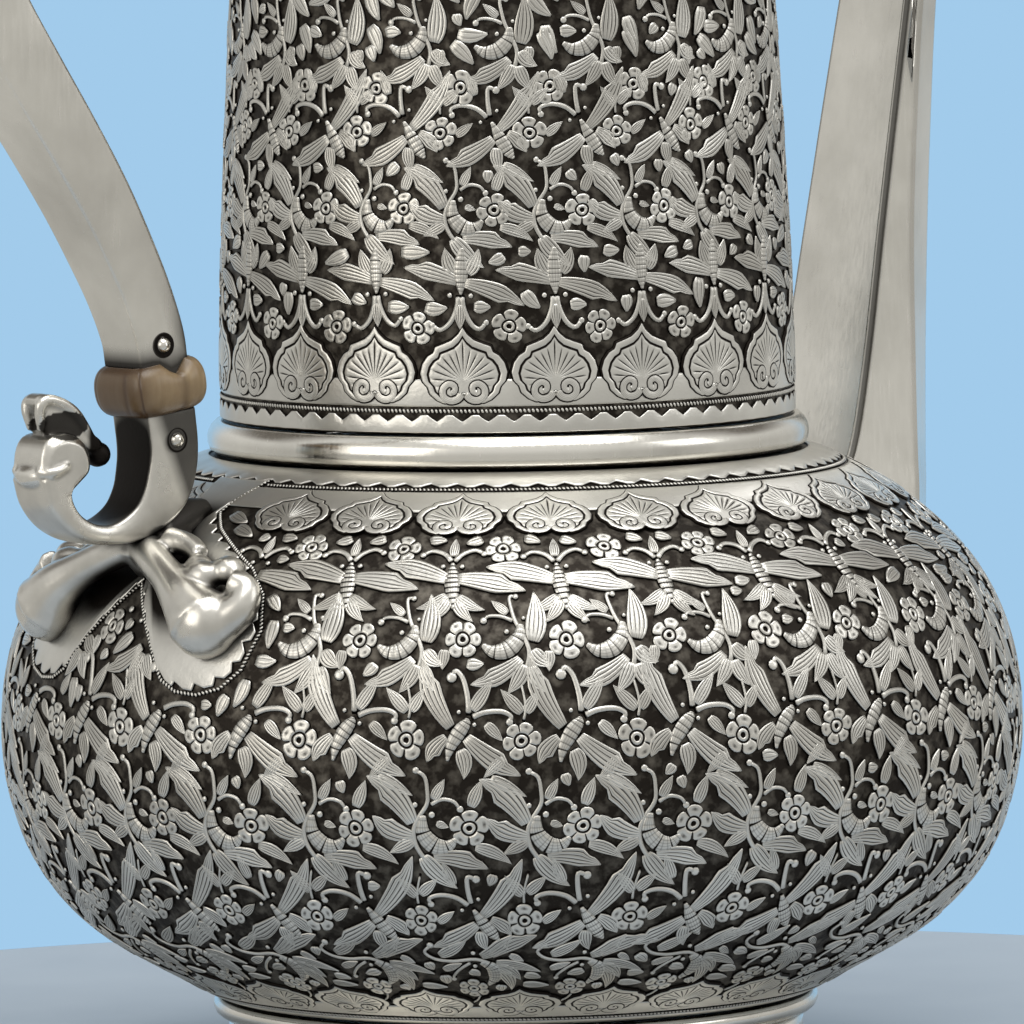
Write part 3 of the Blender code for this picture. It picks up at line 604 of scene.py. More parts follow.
def dragonfly_tail_up(spot):
    ribbed(spot, [(0.1, -0.2), (0, 3.6), (0.1, 7.2)], 1.8, 11, taper=(0.5, 0.35))
    stem(spot, [(-0.2, 7.0), (-0.5, 9.2), (-1.5, 11.4), (-3.0, 12.5), (-4.2, 11.8)], knob=0.5)
    stem(spot, [(0.2, 7.0), (0.6, 9.2), (1.7, 11.4), (3.0, 12.2), (4.0, 11.2)], knob=0.5)
    for x in (-1.6, 1.6):
        bead(spot, (x, 7.2), 0.5)
    leaf(spot, (0, 8.4), (0.1, 12.4), 1.5)
    leaf(spot, (-0.1, 5.2), (-9.0, 3.2), 2.3, -0.05, notch=-1)
    leaf(spot, (0.2, 5.2), (9.8, 8.6), 2.3, 0.05, notch=-1)
    leaf(spot, (-0.9, 4.0), (-2.5, 0.0), 1.9, 0.06)
    leaf(spot, (1.0, 4.0), (2.7, 0.0), 1.9, -0.06)


def dragonfly_rising(spot):
    """Its head is up to the right and its tail down to the left, with a flower beside it."""
    ribbed(spot, [(7.0, 20.1), (6.7, 20.9), (5.5, 22.5), (4.4, 24.5), (3.9, 26.6)], 1.6, 9)
    stem(spot, [(7.2, 19.9), (7.0, 17.0), (6.3, 14.2), (5.2, 13.0), (4.6, 14.0)], knob=0.85)
    stem(spot, [(7.4, 20.1), (9.5, 19.3), (12.0, 19.2), (13.4, 19.9), (13.2, 20.8)], knob=0.6)
    bead(spot, (5.7, 19.2), 0.42)
    bead(spot, (8.0, 21.1), 0.42)
    leaf(spot, (7.6, 19.2), (10.8, 14.4), 1.7)
    leaf(spot, (4.8, 21.8), (0.2, 10.8), 2.6, 0.07, notch=-1)
    leaf(spot, (6.5, 22.7), (14.8, 28.8), 2.7, -0.05, notch=1)
    leaf(spot, (4.0, 22.8), (0.9, 26.6), 2.0, -0.08, notch=1)
    leaf(spot, (5.8, 24.6), (6.3, 29.2), 2.0, 0.1)
    leaf(spot, (9.6, 20.9), (12.2, 23.6), 1.4)
    flower(spot, (14.9, 23.6), turn=10)
    stem(spot, [(15.2, 20.9), (15.6, 18.4), (14.9, 14.4)], 0.5)
    leaf(spot, (15.2, 19.6), (11.9, 15.9), 1.6)
    leaf(spot, (15.6, 19.6), (17.6, 16.2), 1.5)
    leaf(spot, (12.4, 26.0), (9.2, 29.0), 1.4)


def dragonfly_falling(spot):
    """Its head is up to the left and its tail down to the right, with a flower beside it."""
    ribbed(spot, [(15.3, 24.7), (16.8, 27.5), (18.1, 29.7), (19.1, 31.0)], 1.75, 9)
    stem(spot, [(15.2, 24.3), (14.8, 21.4), (14.9, 19.2), (16.2, 19.6)], knob=0.7)
    stem(spot, [(15.0, 24.4), (13.0, 22.7), (10.6, 22.1), (8.7, 22.6), (8.8, 23.7)], knob=0.6)
    bead(spot, (16.3, 23.0), 0.42)
    bead(spot, (13.6, 24.9), 0.42)
    leaf(spot, (16.4, 26.4), (23.4, 16.4), 2.5, -0.06, notch=1)
    leaf(spot, (16.0, 27.4), (7.7, 32.2), 2.6, 0.05, notch=-1)
    leaf(spot, (17.9, 26.6), (21.2, 30.0), 1.9, 0.08, notch=1)
    leaf(spot, (16.2, 29.0), (17.0, 33.2), 1.8, -0.08)
    flower(spot, (6.8, 26.7), turn=20)
    stem(spot, [(6.8, 24.0), (6.9, 21.5), (7.8, 18.3)], 0.5)
    leaf(spot, (6.9, 22.4), (4.2, 18.9), 1.5)
    leaf(spot, (7.2, 22.0), (10.3, 19.3), 1.5)
    leaf(spot, (9.4, 27.2), (12.4, 25.0), 1.3)
    leaf(spot, (12.8, 20.6), (11.2, 16.4), 1.5)


def sprig_horn_left(spot, with_flower=True):
    stem(spot, [(15.7, 13.2), (16.2, 10.5), (15.5, 8.2), (14.3, 5.8), (13.7, 3.8), (13.4, 1.7), (14.4, 1.6)],
         0.8, knob=0.5)
    stem(spot, [(14.2, 5.8), (12.2, 4.9), (10.2, 4.8), (9.4, 5.5)], 0.7, knob=0.6)
    ribbed(spot, [(15.0, 6.0), (14.7, 8.2), (13.0, 10.0), (10.9, 10.3), (9.1, 9.2)], 2.0, 11,
           taper=(0.6, 0.6))
    bead(spot, (12.9, 7.3), 0.5)
    bead(spot, (15.5, 5.2), 0.4)
    leaf(spot, (13.2, 4.5), (10.5, 2.3), 1.2)
    if with_flower:
        flower(spot, (6.3, 8.4))
    leaf(spot, (16.8, 9.2), (17.2, 0.8), 2.7, -0.06)
    leaf(spot, (16.6, 10.0), (19.6, 12.6), 2.0, -0.12)
    leaf(spot, (3.6, 9.8), (3.4, 13.0), 1.5)
    leaf(spot, (15.2, 11.2), (7.4, 15.2), 2.3, 0.08, notch=-1)
    leaf(spot, (15.6, 12.2), (12.8, 16.6), 1.9, 0.06)
    leaf(spot, (16.4, 12.4), (18.6, 16.6), 1.9, -0.08)


def sprig_horn_right(spot):
    stem(spot, [(8.8, 17.2), (7.3, 14.8), (6.9, 12.5), (7.6, 10.5), (8.9, 8.4), (9.0, 6.6), (8.6, 4.4),
                (7.3, 3.5)],
         0.8, knob=0.55)
    stem(spot, [(9.2, 8.6), (11.0, 7.6), (12.8, 7.9), (13.7, 9.0)], 0.7, knob=0.55)
    ribbed(spot, [(8.3, 9.8), (8.3, 12.6), (9.9, 14.5), (11.8, 14.6), (13.2, 13.3)], 2.0, 12,
           taper=(0.6, 0.6))
    bead(spot, (9.6, 9.9), 0.6)
    bead(spot, (7.2, 8.5), 0.5)
    leaf(spot, (10.2, 11.1), (12.1, 11.7), 0.9)
    leaf(spot, (9.8, 7.8), (11.5, 4.6), 1.3)
    flower(spot, (15.0, 11.8), turn=15)
    leaf(spot, (7.0, 11.6), (0.0, 4.4), 3.0, -0.1, notch=1)
    leaf(spot, (7.2, 13.2), (0.9, 10.2), 2.5, 0.1, notch=-1)
    leaf(spot, (7.0, 13.8), (3.2, 15.8), 1.6)
    leaf(spot, (8.0, 16.0), (13.2, 21.2), 2.3, -0.06)
    leaf(spot, (9.4, 16.4), (17.8, 18.0), 2.3, 0.08, notch=1)
    leaf(spot, (15.6, 14.6), (21.2, 17.2), 1.6, 0.08)
    leaf(spot, (15.2, 8.8), (16.8, 4.6), 1.6)
    leaf(spot, (1.6, 4.2), (7.0, 7.2), 1.5)


def sprig_lying(spot):
    stem(spot, [(12.6, 9.4), (9.8, 8.0), (6.0, 8.4), (3.0, 7.8), (1.5, 6.2), (2.7, 4.7)], 0.8, knob=0.65)
    bead(spot, (9.5, 6.5), 0.5)
    bead(spot, (9.5, 9.7), 0.5)
    leaf(spot, (10.4, 7.4), (16.0, 2.6), 2.2, -0.08, notch=-1)
    leaf(spot, (12.0, 7.4), (20.0, 2.9), 2.3, 0.06, notch=1)
    stem(spot, [(9.2, 8.6), (7.0, 10.3), (5.5, 12.3), (5.3, 13.4)], 0.65, knob=0.5)
    ribbed(spot, [(10.5, 8.6), (12.5, 10.3), (12.7, 13.0), (11.3, 15.4)], 2.0, 11, taper=(0.6, 0.6))
    leaf(spot, (12.8, 8.8), (20.8, 11.6), 1.7, 0.05)
    leaf(spot, (13.0, 9.6), (17.2, 13.8), 2.0, 0.1)
    leaf(spot, (13.2, 10.4), (15.4, 17.4), 2.1, 0.12)
    leaf(spot, (15.4, 7.0), (17.8, 8.6), 1.1)
    leaf(spot, (3.6, 7.0), (8.8, 3.4), 1.8, -0.05)
    leaf(spot, (3.8, 10.6), (7.4, 8.9), 1.3)
    flower(spot, (8.4, 16.7), 3.1, turn=25)
    stem(spot, [(9.3, 19.2), (8.5, 21.2), (7.2, 22.4)], 0.5)
    leaf(spot, (17.4, 15.4), (22.4, 16.0), 1.6)


def ring_of(relief, *parts):
    """Motifs all the way round, each a little different. A part is a motif, a count, a phase, a drop and how
    it sits."""
    for motif, count, phase, drop, how in parts:
        for k in range(count):
            motif(Spot(relief, (phase + 360 * k / count) % 360, drop, **how))
    return relief


def level_line(drop, first=0.0, last=360.0):
    return np.stack([np.linspace(first, last, 400), np.full(400, drop)], -1)


def rope(relief, line, lean=32):
    """A twisted cord: slanted strands one after another along a line of (angle, drop)."""
    pitch, width = 0.62, 0.95
    r = relief.wall.radius_at(float(line[:, 1].mean()))
    flat = np.stack([np.radians(line[:, 0]) * r, line[:, 1]], -1)
    x, y = paced(flat, int(length_along(flat)[-1] / pitch)).T
    tilt = np.degrees(np.arctan2(np.gradient(y), np.gradient(x)))
    for k in range(len(x)):
        spot = Spot(relief, math.degrees(x[k] / r), y[k], radius=r, uneven=0)
        bead(spot, (0, 0), pitch * 0.42, stretch=width / pitch * 1.15, turn=tilt[k] + 90 - lean, top=0.4,
             columns=6)


def band(relief, first, last, nick=0.0, nicks=0, edge="top", height=0.42):
    """A plain raised band round the wall; one edge can be cut with a row of small triangular nicks."""
    columns = max(240, nicks * 14)
    angle = np.linspace(0, 360, columns, endpoint=False)
    share = (angle * nicks / 360) % 1
    cut = nick * np.clip(1 - np.abs(share - 0.5) / 0.36, 0, 1) ** 0.85
    low = first + cut * (edge == "top")
    high = last - cut * (edge == "bottom")
    shares = np.array([0.0, 0.03, 0.1, 0.5, 0.9, 0.97, 1.0])
    lift = spread([SUNK, height - 0.05, height, height, height, height - 0.05, SUNK], columns)
    drop = low + shares[:, None] * (high - low)
    angles = np.broadcast_to(angle, drop.shape)
    outer = relief.wall.at(angles, drop, lift - GROUND_DEPTH)
    under = relief.wall.at(angles[[-1, 0]], drop[[-1, 0]], np.full((2, columns), SUNK - 0.3 - GROUND_DEPTH))
    rows = len(shares) + 2
    rubbed = np.concatenate([lift, np.full((2, columns), SUNK)])
    relief.keep(angles, drop, np.concatenate([outer, under]),
                grid_faces(rows + 1, columns, True) % (rows * columns),
                rubbed + (0.42 - height) * (rubbed > 0.1), np.zeros(rubbed.size), 0.8)


def fill_gaps(relief, first, last):
    """Small pointed leaves, each the longest that fits, in the bare places that are left."""
    patch = relief.patch
    taken, columns = patch.closed_up(), patch.COLUMNS
    rows, places = np.meshgrid(np.arange(0, patch.rows, 2), np.arange(0, columns, 2), indexing="ij")
    cells = np.stack([rows.ravel(), places.ravel()], -1)
    cells = cells[chance.permutation(len(cells))]
    ways = [(math.cos(a), math.sin(a)) for a in np.radians(np.arange(0, 180, 22.5))]
    near = np.arange(-1, 2)

    def under(row, column, drop, x, y):
        """Whether the cells under some points round a cell are all free, and which they are."""
        across_mm = 2 * math.pi * relief.wall.radius_at(drop) / columns
        on_rows = (row + y / patch.CELL).round().astype(int)
        on_columns = (column + x / across_mm).round().astype(int) % columns
        fits = on_rows.min() >= 0 and on_rows.max() < patch.rows and not taken[on_rows, on_columns].any()
        return fits, on_rows, on_columns

    for length, width in ((5.0, 1.9), (3.8, 1.8), (2.8, 1.6), (2.1, 1.4)):
        steps = np.linspace(-0.5, 0.5, 9) * length
        for row, column in cells:
            drop = patch.first + (row + 0.5) * patch.CELL
            if taken[row, column] or not first < drop < last:
                continue
            for dx, dy in ways:
                fits, on_rows, on_columns = under(row, column, drop, steps * dx, steps * dy)
                aside = steps[2:-2] * dx - 0.5 * dy, steps[2:-2] * dy + 0.5 * dx
                if not fits or not under(row, column, drop, *aside)[0]:
                    continue
                angle = (column + 0.5) / columns * 360
                if relief.is_bare(np.array([angle]), np.array([drop])):
                    break
                half = 0.5 * length
                leaf(Spot(relief, angle, drop, uneven=0), (-dx * half, -dy * half), (dx * half, dy * half),
                     width, bend=chance.uniform(-0.1, 0.1), small=True)
                for r, c in zip(on_rows, on_columns):
                    for reach in (1, 2):
                        taken[np.ix_(np.clip(r + near * reach, 0, patch.rows - 1),
                                     (c + near * reach) % columns)] = True
                break


# ---------- belly ----------
belly_wall = Wall(BELLY_LINE, zero_radius=45.2)
RESERVE_HALF = [(6.8, 93.8), (4.4, 91.2), (4.2, 89.4), (7.4, 87.4), (12.1, 85.2), (17.4, 82.4), (20.6, 79.0),
                (21.9, 74.2), (20.3, 68.6), (17.8, 65.8), (14.6, 64.7), (11.6, 65.0), (9.2, 66.5),
                (5.9, 71.9), (0, 79.5)]
SPOUT_RESERVE = [(166.5, 93.4), (167.6, 88.0), (165.6, 80.0), (165.4, 70.0), (168.2, 63.6), (174.0, 60.6),
                 (180.0, 57.0), (186.0, 60.6), (191.8, 63.6), (194.6, 70.0), (194.4, 80.0), (192.4, 88.0),
                 (193.5, 93.4)]


def on_belly(outline):
    """An outline of (angle, height) as one of (angle, drop) on the belly."""
    line = np.array(outline, float)
    line[:, 1] = np.interp(-line[:, 1], -belly_wall.height, belly_wall.drop)
    return line


reserve_line = on_belly(RESERVE_HALF + [(-angle, z) for angle, z in RESERVE_HALF[-2::-1]])
spout_line = on_belly(SPOUT_RESERVE)


def inside(line):
    """A test for points inside a closed line of (angle, drop)."""
    ends = closed(line)

    def test(angle, drop):
        a = (angle.ravel() + 180 - line[:, 0].mean()) % 360 - 180 + line[:, 0].mean()
        d = drop.ravel()
        crossed = np.zeros(a.shape, bool)
        for (x0, y0), (x1, y1) in zip(ends[:-1], ends[1:]):
            between = (y0 > d) != (y1 > d)
            if abs(y1 - y0) > 1e-9:
                crossed ^= between & (a < (x1 - x0) * (d - y0) / (y1 - y0) + x0)
        return bool(crossed.any())
    return test


def plate(relief, line, angle, height):
    """A plain raised plate inside a closed line, its edge cut with small triangular nicks below the first
    rope."""
    nick, pitch, per_nick, clear_drop = 1.15, 3.4, 10, 9
    centre = (angle, float(on_belly([(angle, height)])[0, 1]))
    r = relief.wall.radius_at(centre[1])
    flat = np.stack([np.radians(line[:, 0] - centre[0]) * r, line[:, 1] - centre[1]], -1)
    columns = int(length_along(closed(flat))[-1] / pitch) * per_nick
    edge = paced(closed(flat), columns)
    reach = np.hypot(*edge.T)
    share = (np.arange(columns) / per_nick) % 1
    depth = 0.55 + nick * np.clip(1 - np.abs(share - 0.5) / 0.3, 0, 1) * (edge[:, 1] + centre[1] > clear_drop)
    radii = [reach * s for s in (0.04, 0.35, 0.65, 0.85)] + [reach - depth - more for more in (0.5, 0.12, 0)]
    radii = np.minimum.accumulate(np.array(radii)[::-1], 0)[::-1]
    x, y = radii * (edge[:, 0] / reach), radii * (edge[:, 1] / reach)
    if twice_area(edge) > 0:
        x, y = x[:, ::-1], y[:, ::-1]
    black = [0.0, 0.1, 0.34, 0.44, 0.44, 0.38, 0.0]      # painted shade: dark in the middle under the mount and the spout base, bright toward the rim, black in the sunk edge
    relief.lay(Spot(relief, *centre, radius=r, uneven=0), x, y, spread([0.42] * 5 + [0.38, SUNK], columns),
               ring=True, tone=0.8, rubbed=spread(black, columns))


def turned(name, outline, finish, replaces=(), body="pot", segments=192, inner_from=None):
    """A solid turned about the pot's axis from a closed outline of (radius, height), which may have an inner
    side from one of its points on."""
    line = np.asarray(outline, float)
    points, rows = [], []
    for r, z in line:
        count = 1 if r < 1e-6 else segments
        rows.append(list(range(len(points), len(points) + count)))
        ring = [(r * math.cos(a), r * math.sin(a), z) for a in full_turn(segments)]
        points += ring if count > 1 else [(0, 0, z)]
    fields = None
    if inner_from:
        fields = {"inside": np.repeat(np.arange(len(rows)) >= inner_from, [len(row) for row in rows])}
    quads, caps = [], []
    for low, high in zip(rows, rows[1:] + rows[:1]):
        for k in range(segments):
            n = (k + 1) % segments
            if len(low) > 1 and len(high) > 1:
                quads.append((low[k], low[n], high[n], high[k]))
            elif len(low) > 1:
                caps.append((low[k], low[n], high[0]))
            elif len(high) > 1:
                caps.append((low[0], high[n], high[k]))
    if twice_area(line) < 0:
        quads, caps = [q[::-1] for q in quads], [c[::-1] for c in caps]
    return mesh_piece(name, np.array(points) * MM, quads, caps, finish, body, replaces, fields)


ground_line = curve_through(BELLY_LINE, 4)
tangent = np.gradient(ground_line, axis=0)
tangent /= np.hypot(*tangent.T)[:, None]
ground_line = ground_line - GROUND_DEPTH * np.stack([-tangent[:, 1], tangent[:, 0]], -1)
turned("belly_ground", list(ground_line) + [(20, 12.5), (0, 12.4)] + BELLY_INSIDE, GROUND, ("belly",),
       inner_from=len(ground_line) + 2)


def eye_flower(spot):
    flower(spot, (0, 0), 2.8, turn=8)


CROP = 76.0              # the radius on which the belly motifs are set out
belly_patch = Patch(0.0, 111.0)
bare_places = (inside(reserve_line), inside(spout_line))
for name, *parts in (
        ("belly_shoulder_palmettes", (palmette, 27, 44.6, 6.3, {"uneven": 0.3, "radius": 56.0})),
        ("belly_shoulder_dragonflies", (eye_flower, 27, 51.2, 19.8, {}),
         (dragonfly_head_up, 27, 44.7, 22.4, {"radius": 67.0, "size": 0.97})),
        ("belly_upper_sprigs", (sprig_horn_left, 30, 46.4, 35.7, {"origin": (6.3, 8.4), "radius": CROP})),
        ("belly_upper_dragonflies", (dragonfly_rising, 29, 47.0, 47.1,
                                     {"origin": (7.0, 20.0), "radius": CROP})),
        ("belly_middle_sprigs", (sprig_horn_right, 29, 54.9, 60.0, {"origin": (8.9, 8.6), "radius": CROP})),
        ("belly_lower_dragonflies", (dragonfly_falling, 29, 59.7, 76.0,
                                     {"origin": (15.3, 24.7), "radius": CROP})),
        ("belly_lower_sprigs", (sprig_lying, 26, 46.9, 86.6, {"origin": (9.8, 8.0), "radius": CROP})),
        ("belly_foot_palmettes", (palmette, 26, 52.5, 95.2, {"wide": 1.02, "uneven": 0.3, "radius": 55.0}))):
    ring_of(Relief(belly_wall, belly_patch, bare_places), *parts).build(name)

borders = Relief(belly_wall, belly_patch)
rope(borders, level_line(5.55, 7.6, 352.4))
rope(borders, level_line(107.9), lean=60)
band(borders, -0.4, 5.0, 0.95, 79, "bottom")
band(borders, 6.1, 11.6, height=0.3)
band(borders, 103.2, 107.2, height=0.3)
band(borders, 108.5, 110.6)
rope(borders, reserve_line)
rope(borders, spout_line)
plate(borders, reserve_line, 0.0, 84.0)
plate(borders, spout_line, 180.0, 79.0)
borders.build("belly_borders")
fillers = Relief(belly_wall, belly_patch, bare_places)
fill_gaps(fillers, 6.6, 106.8)
fillers.build("belly_small_leaves")

# ---------- neck ----------
neck_wall = Wall(NECK_LINE, zero_height=165.0)
neck_line = curve_through(NECK_LINE, 4) - (GROUND_DEPTH, 0)
turned("neck_ground", list(neck_line) + [(r - 1.1, z) for r, z in reversed(NECK_LINE)], GROUND, ("neck",),
       inner_from=len(neck_line))
neck_patch = Patch(-38.6, 64.4)
for name, *parts in (
        ("neck_foot_palmettes", (palmette, 20, 43.3, 48.1, {"wide": 0.925, "size": 1.12, "uneven": 0.3})),
        ("neck_upright_dragonflies", (eye_flower, 20, 52.5, 48.7, {"size": 0.95}),
         (dragonfly_tail_up, 20, 43.4, 37.1, {"size": 0.95})),
        ("neck_lower_sprigs", (sprig_horn_right, 20, 42.2, 28.8, {"origin": (8.9, 8.6), "size": 0.88})),
        ("neck_lower_dragonflies", (dragonfly_falling, 20, 49.3, 18.4,
                                    {"origin": (15.3, 24.7), "size": 0.88})),
        ("neck_middle_sprigs",
         (lambda s: sprig_horn_left(s, False), 20, 52.6, 4.4, {"origin": (14.3, 5.8), "size": 0.88}),
         (lambda s: flower(s, (0, 0), 2.7, turn=8), 20, 43.3, 13.6, {})),
        ("neck_upper_dragonflies", (dragonfly_rising, 20, 46.0, -9.0, {"origin": (7.0, 20.0), "size": 0.88})),
        ("neck_upper_sprigs", (sprig_lying, 20, 40.0, -23.0, {"origin": (9.8, 8.0), "size": 0.72})),
        ("neck_mouth_palmettes",
         (lambda s: palmette(s, -1), 20, 43.3, -25.6, {"wide": 0.98, "uneven": 0.3, "size": 0.98}))):
    ring_of(Relief(neck_wall, neck_patch), *parts).build(name)
neck_borders = Relief(neck_wall, neck_patch)
rope(neck_borders, level_line(60.95))
band(neck_borders, 61.45, 64.2, 1.0, 71)
band(neck_borders, 56.2, 60.4, height=0.3)
band(neck_borders, -36.3, -32.2, height=0.3)
rope(neck_borders, level_line(-36.8))
band(neck_borders, -38.5, -37.5)
neck_borders.build("neck_borders")
neck_fillers = Relief(neck_wall, neck_patch)
fill_gaps(neck_fillers, -36.0, 60.2)
neck_fillers.build("neck_small_leaves")

# ---------- lid ----------
lid_wall = Wall(LID_LINE)
lid_line = curve_through(LID_LINE, 4)
turned("lid_ground", list(lid_line - (0.1, 0.2)) + LID_EDGE, GROUND, ("lid_dome",), body="lid",
       inner_from=len(lid_line) + 3)
lid_patch = Patch(0.0, 42.0)
ring_of(Relief(lid_wall, lid_patch), (palmette, 17, 8.0, 30.2, {"uneven": 0.3, "size": 0.88}),
        (lambda s: flower(s, (0, 0), 2.5), 17, 18.6, 28.2, {})).build("lid_palmettes", body="lid")
lid_work = ring_of(Relief(lid_wall, lid_patch),
                   (sprig_horn_left, 10, 10.0, 20.0, {"origin": (12.0, 8.0), "size": 0.8}),
                   (lambda s: leaf(s, (0, 0), (0, 7.0), 2.3), 14, 0.0, 4.0, {}),
                   (lambda s: leaf(s, (0, 0), (0, 4.4), 1.5), 14, 12.9, 8.2, {}))
rope(lid_work, level_line(40.9))
rope(lid_work, level_line(2.6))
fill_gaps(lid_work, 11.0, 40.0)
lid_work.build("lid_chasing", body="lid")

# ---------- plain turned pieces, each an outline of (radius, height) ----------
for name, node, outline in (
        ("neck_ring_turned", "neck_ring",
         [(41.7, 95.6), (44.2, 95.6), (44.9, 96.1), (45.2, 97.0), (45.25, 97.9), (45.1, 98.7), (44.7, 99.5),
          (44.2, 100.0), (43.9, 100.3), (43.4, 100.4), (41.7, 100.4)]),
        ("mouth_rim_turned", "mouth_rim",
         [(37.7, 203.9), (39.2, 203.9), (40.0, 204.2), (40.8, 205.0), (41.25, 206.1), (41.3, 207.0),
          (41.1, 207.9), (40.6, 208.6), (39.9, 209.0), (39.3, 209.1), (37.7, 209.1)]),
        ("foot_collar_turned", "foot_collar",
         [(40.4, 10.3), (43.8, 10.3), (44.7, 10.6), (45.3, 11.1), (45.65, 11.9), (45.6, 12.6), (45.2, 13.2),
          (44.6, 13.45), (40.4, 13.0)]),
        ("foot_ring_turned", "foot_ring",
         [(42.1, 10.0), (41.6, 8.5), (41.3, 7.0), (41.6, 5.6), (42.6, 4.3), (44.0, 3.1), (45.2, 2.5),
          (46.4, 2.3), (46.4, 0.4), (47.4, 0.4), (47.4, 3.3), (46.2, 3.7), (45.1, 4.4), (44.2, 5.4),
          (43.6, 6.6), (43.25, 8.2), (43.5, 10.0)]),
        ("foot_wire_turned", "foot_wire",
         [(47.7, 0.05), (48.9, 0.05), (49.7, 0.5), (50.1, 1.2), (50.1, 1.9), (49.7, 2.5), (48.9, 2.95),
          (47.7, 2.95)])):
    turned(name, outline, PLAIN, (node,))
turned("lid_rim_moulding", [(38.6, 209.3), (40.6, 209.3), (41.4, 209.6), (41.7, 210.3), (41.5, 211.0),
                            (40.9, 211.6), (40.2, 211.9), (39.9, 212.3), (39.5, 212.5), (38.6, 212.3)],
       PLAIN, body="lid")
turned("lid_bezel_turned", [(35.6, 202.5), (35.8, 202.4), (36.5, 202.4), (36.7, 202.6), (36.7, 212.2),
                            (35.6, 212.2)], PLAIN, ("lid_bezel",), body="lid")
turned("finial_collar_turned", [(1.7, 235.3), (6.0, 235.3), (6.7, 235.6), (7.0, 236.2), (6.8, 236.8),
                                (6.1, 237.3), (5.2, 237.6), (4.5, 238.1), (1.7, 238.2)],
       PLAIN, ("finial_collar",), body="lid", segments=96)


# ---------- bars, tubes and castings ----------
def looks_into(points, normals, centre, reach):
    """How far each point looks into a hollow round a centre: 1 on the faces turned toward it."""
    toward = np.asarray(centre, float) - points
    distance = np.linalg.norm(toward, axis=1)
    facing = np.sum(toward * normals, 1) / np.maximum(distance, 1e-9)
    return np.clip(facing * 1.7 - 0.2, 0, 1) * np.clip((reach - distance) / (0.35 * reach), 0, 1)


def loft(name, sections, finish, node, open_ends=False, soot=None):
    """A solid through closed sections of equal count, in millimetres; with open ends the loops close on each
    other."""
    sections = np.asarray(sections, float)
    rows, columns = sections.shape[:2]
    flat = sections.reshape(-1, 3) * MM
    if open_ends:
        quads = grid_faces(rows + 1, columns, True) % (rows * columns)
        caps = []
    else:
        quads = grid_faces(rows, columns, True)
        caps = [np.arange(columns)[::-1], np.arange(columns) + (rows - 1) * columns]
    a, b, c, d = (flat[quads[:, k]] for k in range(4))
    volume = np.sum(a * np.cross(b, c)) + np.sum(a * np.cross(c, d))
    for cap in caps:
        ring = flat[cap]
        volume += sum(np.sum(ring[0] * np.cross(ring[k], ring[k + 1])) for k in range(1, len(ring) - 1))
    if volume < 0:
        quads, caps = quads[:, ::-1], [cap[::-1] for cap in caps]
    return mesh_piece(name, flat, quads, caps, finish, replaces=(node,),
                      fields={} if soot is None else {"soot": np.ravel(soot)})


def bar_outline(wide, deep, arris):
    """A squared bar's section: slightly crowned faces between small rounded arrises, as (depth, width)
    points."""
    crown = 0.12

    def on_arris(k, degrees):
        sx, sy = ((1, 1), (-1, 1), (-1, -1), (1, -1))[k % 4]
        turn = math.radians(degrees)
        return np.array((sx * (deep / 2 - arris) + arris * math.cos(turn),
                         sy * (wide / 2 - arris) + arris * math.sin(turn)))

    points = []
    for k in range(4):
        points += [on_arris(k, 90 * k + 22.5 * step) for step in range(5)]
        start, face_end = points[-1], math.radians(90 * (k + 1))
        outward = np.array((math.cos(face_end), math.sin(face_end)))
        for share in (0.06, 0.2, 0.35, 0.5, 0.65, 0.8, 0.94):
            bulge = crown * (1 - (2 * share - 1) ** 2)
            points.append(start + (on_arris(k + 1, 90 * (k + 1)) - start) * share + outward * bulge)
    return np.array(points)


def bar_sections(stations, arris):
    """Sections of a bar that runs in the XZ plane; stations are (x, z, width, depth)."""
    line = curve_through(stations)
    tangent = np.gradient(line[:, :2], axis=0)
    tangent /= np.hypot(*tangent.T)[:, None]
    made = []
    for (x, z, wide, deep), (tx, tz) in zip(line, tangent):
        outline = bar_outline(wide, deep, min(arris, 0.3 * wide, 0.3 * deep))
        made.append(np.stack([x + outline[:, 0] * tz, outline[:, 1], z - outline[:, 0] * tx], -1))
    return np.array(made)


GRIP = [(-67.05, 111.9, 9.7, 8.7), (-67.75, 116.0, 9.8, 8.7), (-70.0, 122.0, 10.3, 8.7),
        (-73.2, 128.5, 11.0, 8.8), (-77.6, 136.5, 11.4, 9.2), (-83.2, 145.3, 11.7, 9.6),
        (-89.4, 154.5, 12.0, 9.9), (-95.6, 164.2, 12.2, 10.0), (-100.2, 173.4, 12.2, 10.0),
        (-102.4, 182.0, 12.0, 9.9), (-101.2, 189.8, 11.6, 9.6), (-96.4, 195.3, 11.2, 9.3),
        (-89.2, 197.9, 10.8, 9.0), (-80.5, 198.3, 10.4, 8.8), (-72.0, 197.6, 9.9, 8.7),
        (-64.2, 196.8, 9.7, 8.7)]
grip = bar_sections(GRIP, 0.75)
tongue = np.clip(1 - np.abs(grip[:6, :, 0] - grip[:6, :, 0].mean(1, keepdims=True) - 1.4) / 2.8, 0, 1)
on_side = np.abs(grip[:6, :, 1]) > 3.4
grip[:6, :, 2] -= 2.6 * tongue * on_side * np.linspace(1, 0, 6)[:, None] ** 2
grip_rows = np.arange(len(grip))[:, None]
grip_soot = np.clip(1.15 - grip_rows / 5.0, 0, 1) ** 1.3 * np.ones(grip.shape[:2])
back_edge = np.clip((grip[..., 0] - grip[..., 0].mean(1, keepdims=True) - 1.2) / 3.0, 0, 1)
grip_soot = np.maximum(grip_soot, 0.9 * back_edge * np.clip(1.6 - grip_rows / 9.0, 0, 1))
grip_soot = np.maximum(grip_soot, np.clip(1 - (len(grip) - 1 - grip_rows) / 4.0, 0, 1))
loft("handle_grip_faces", grip, PLAIN, "handle_grip", soot=grip_soot)


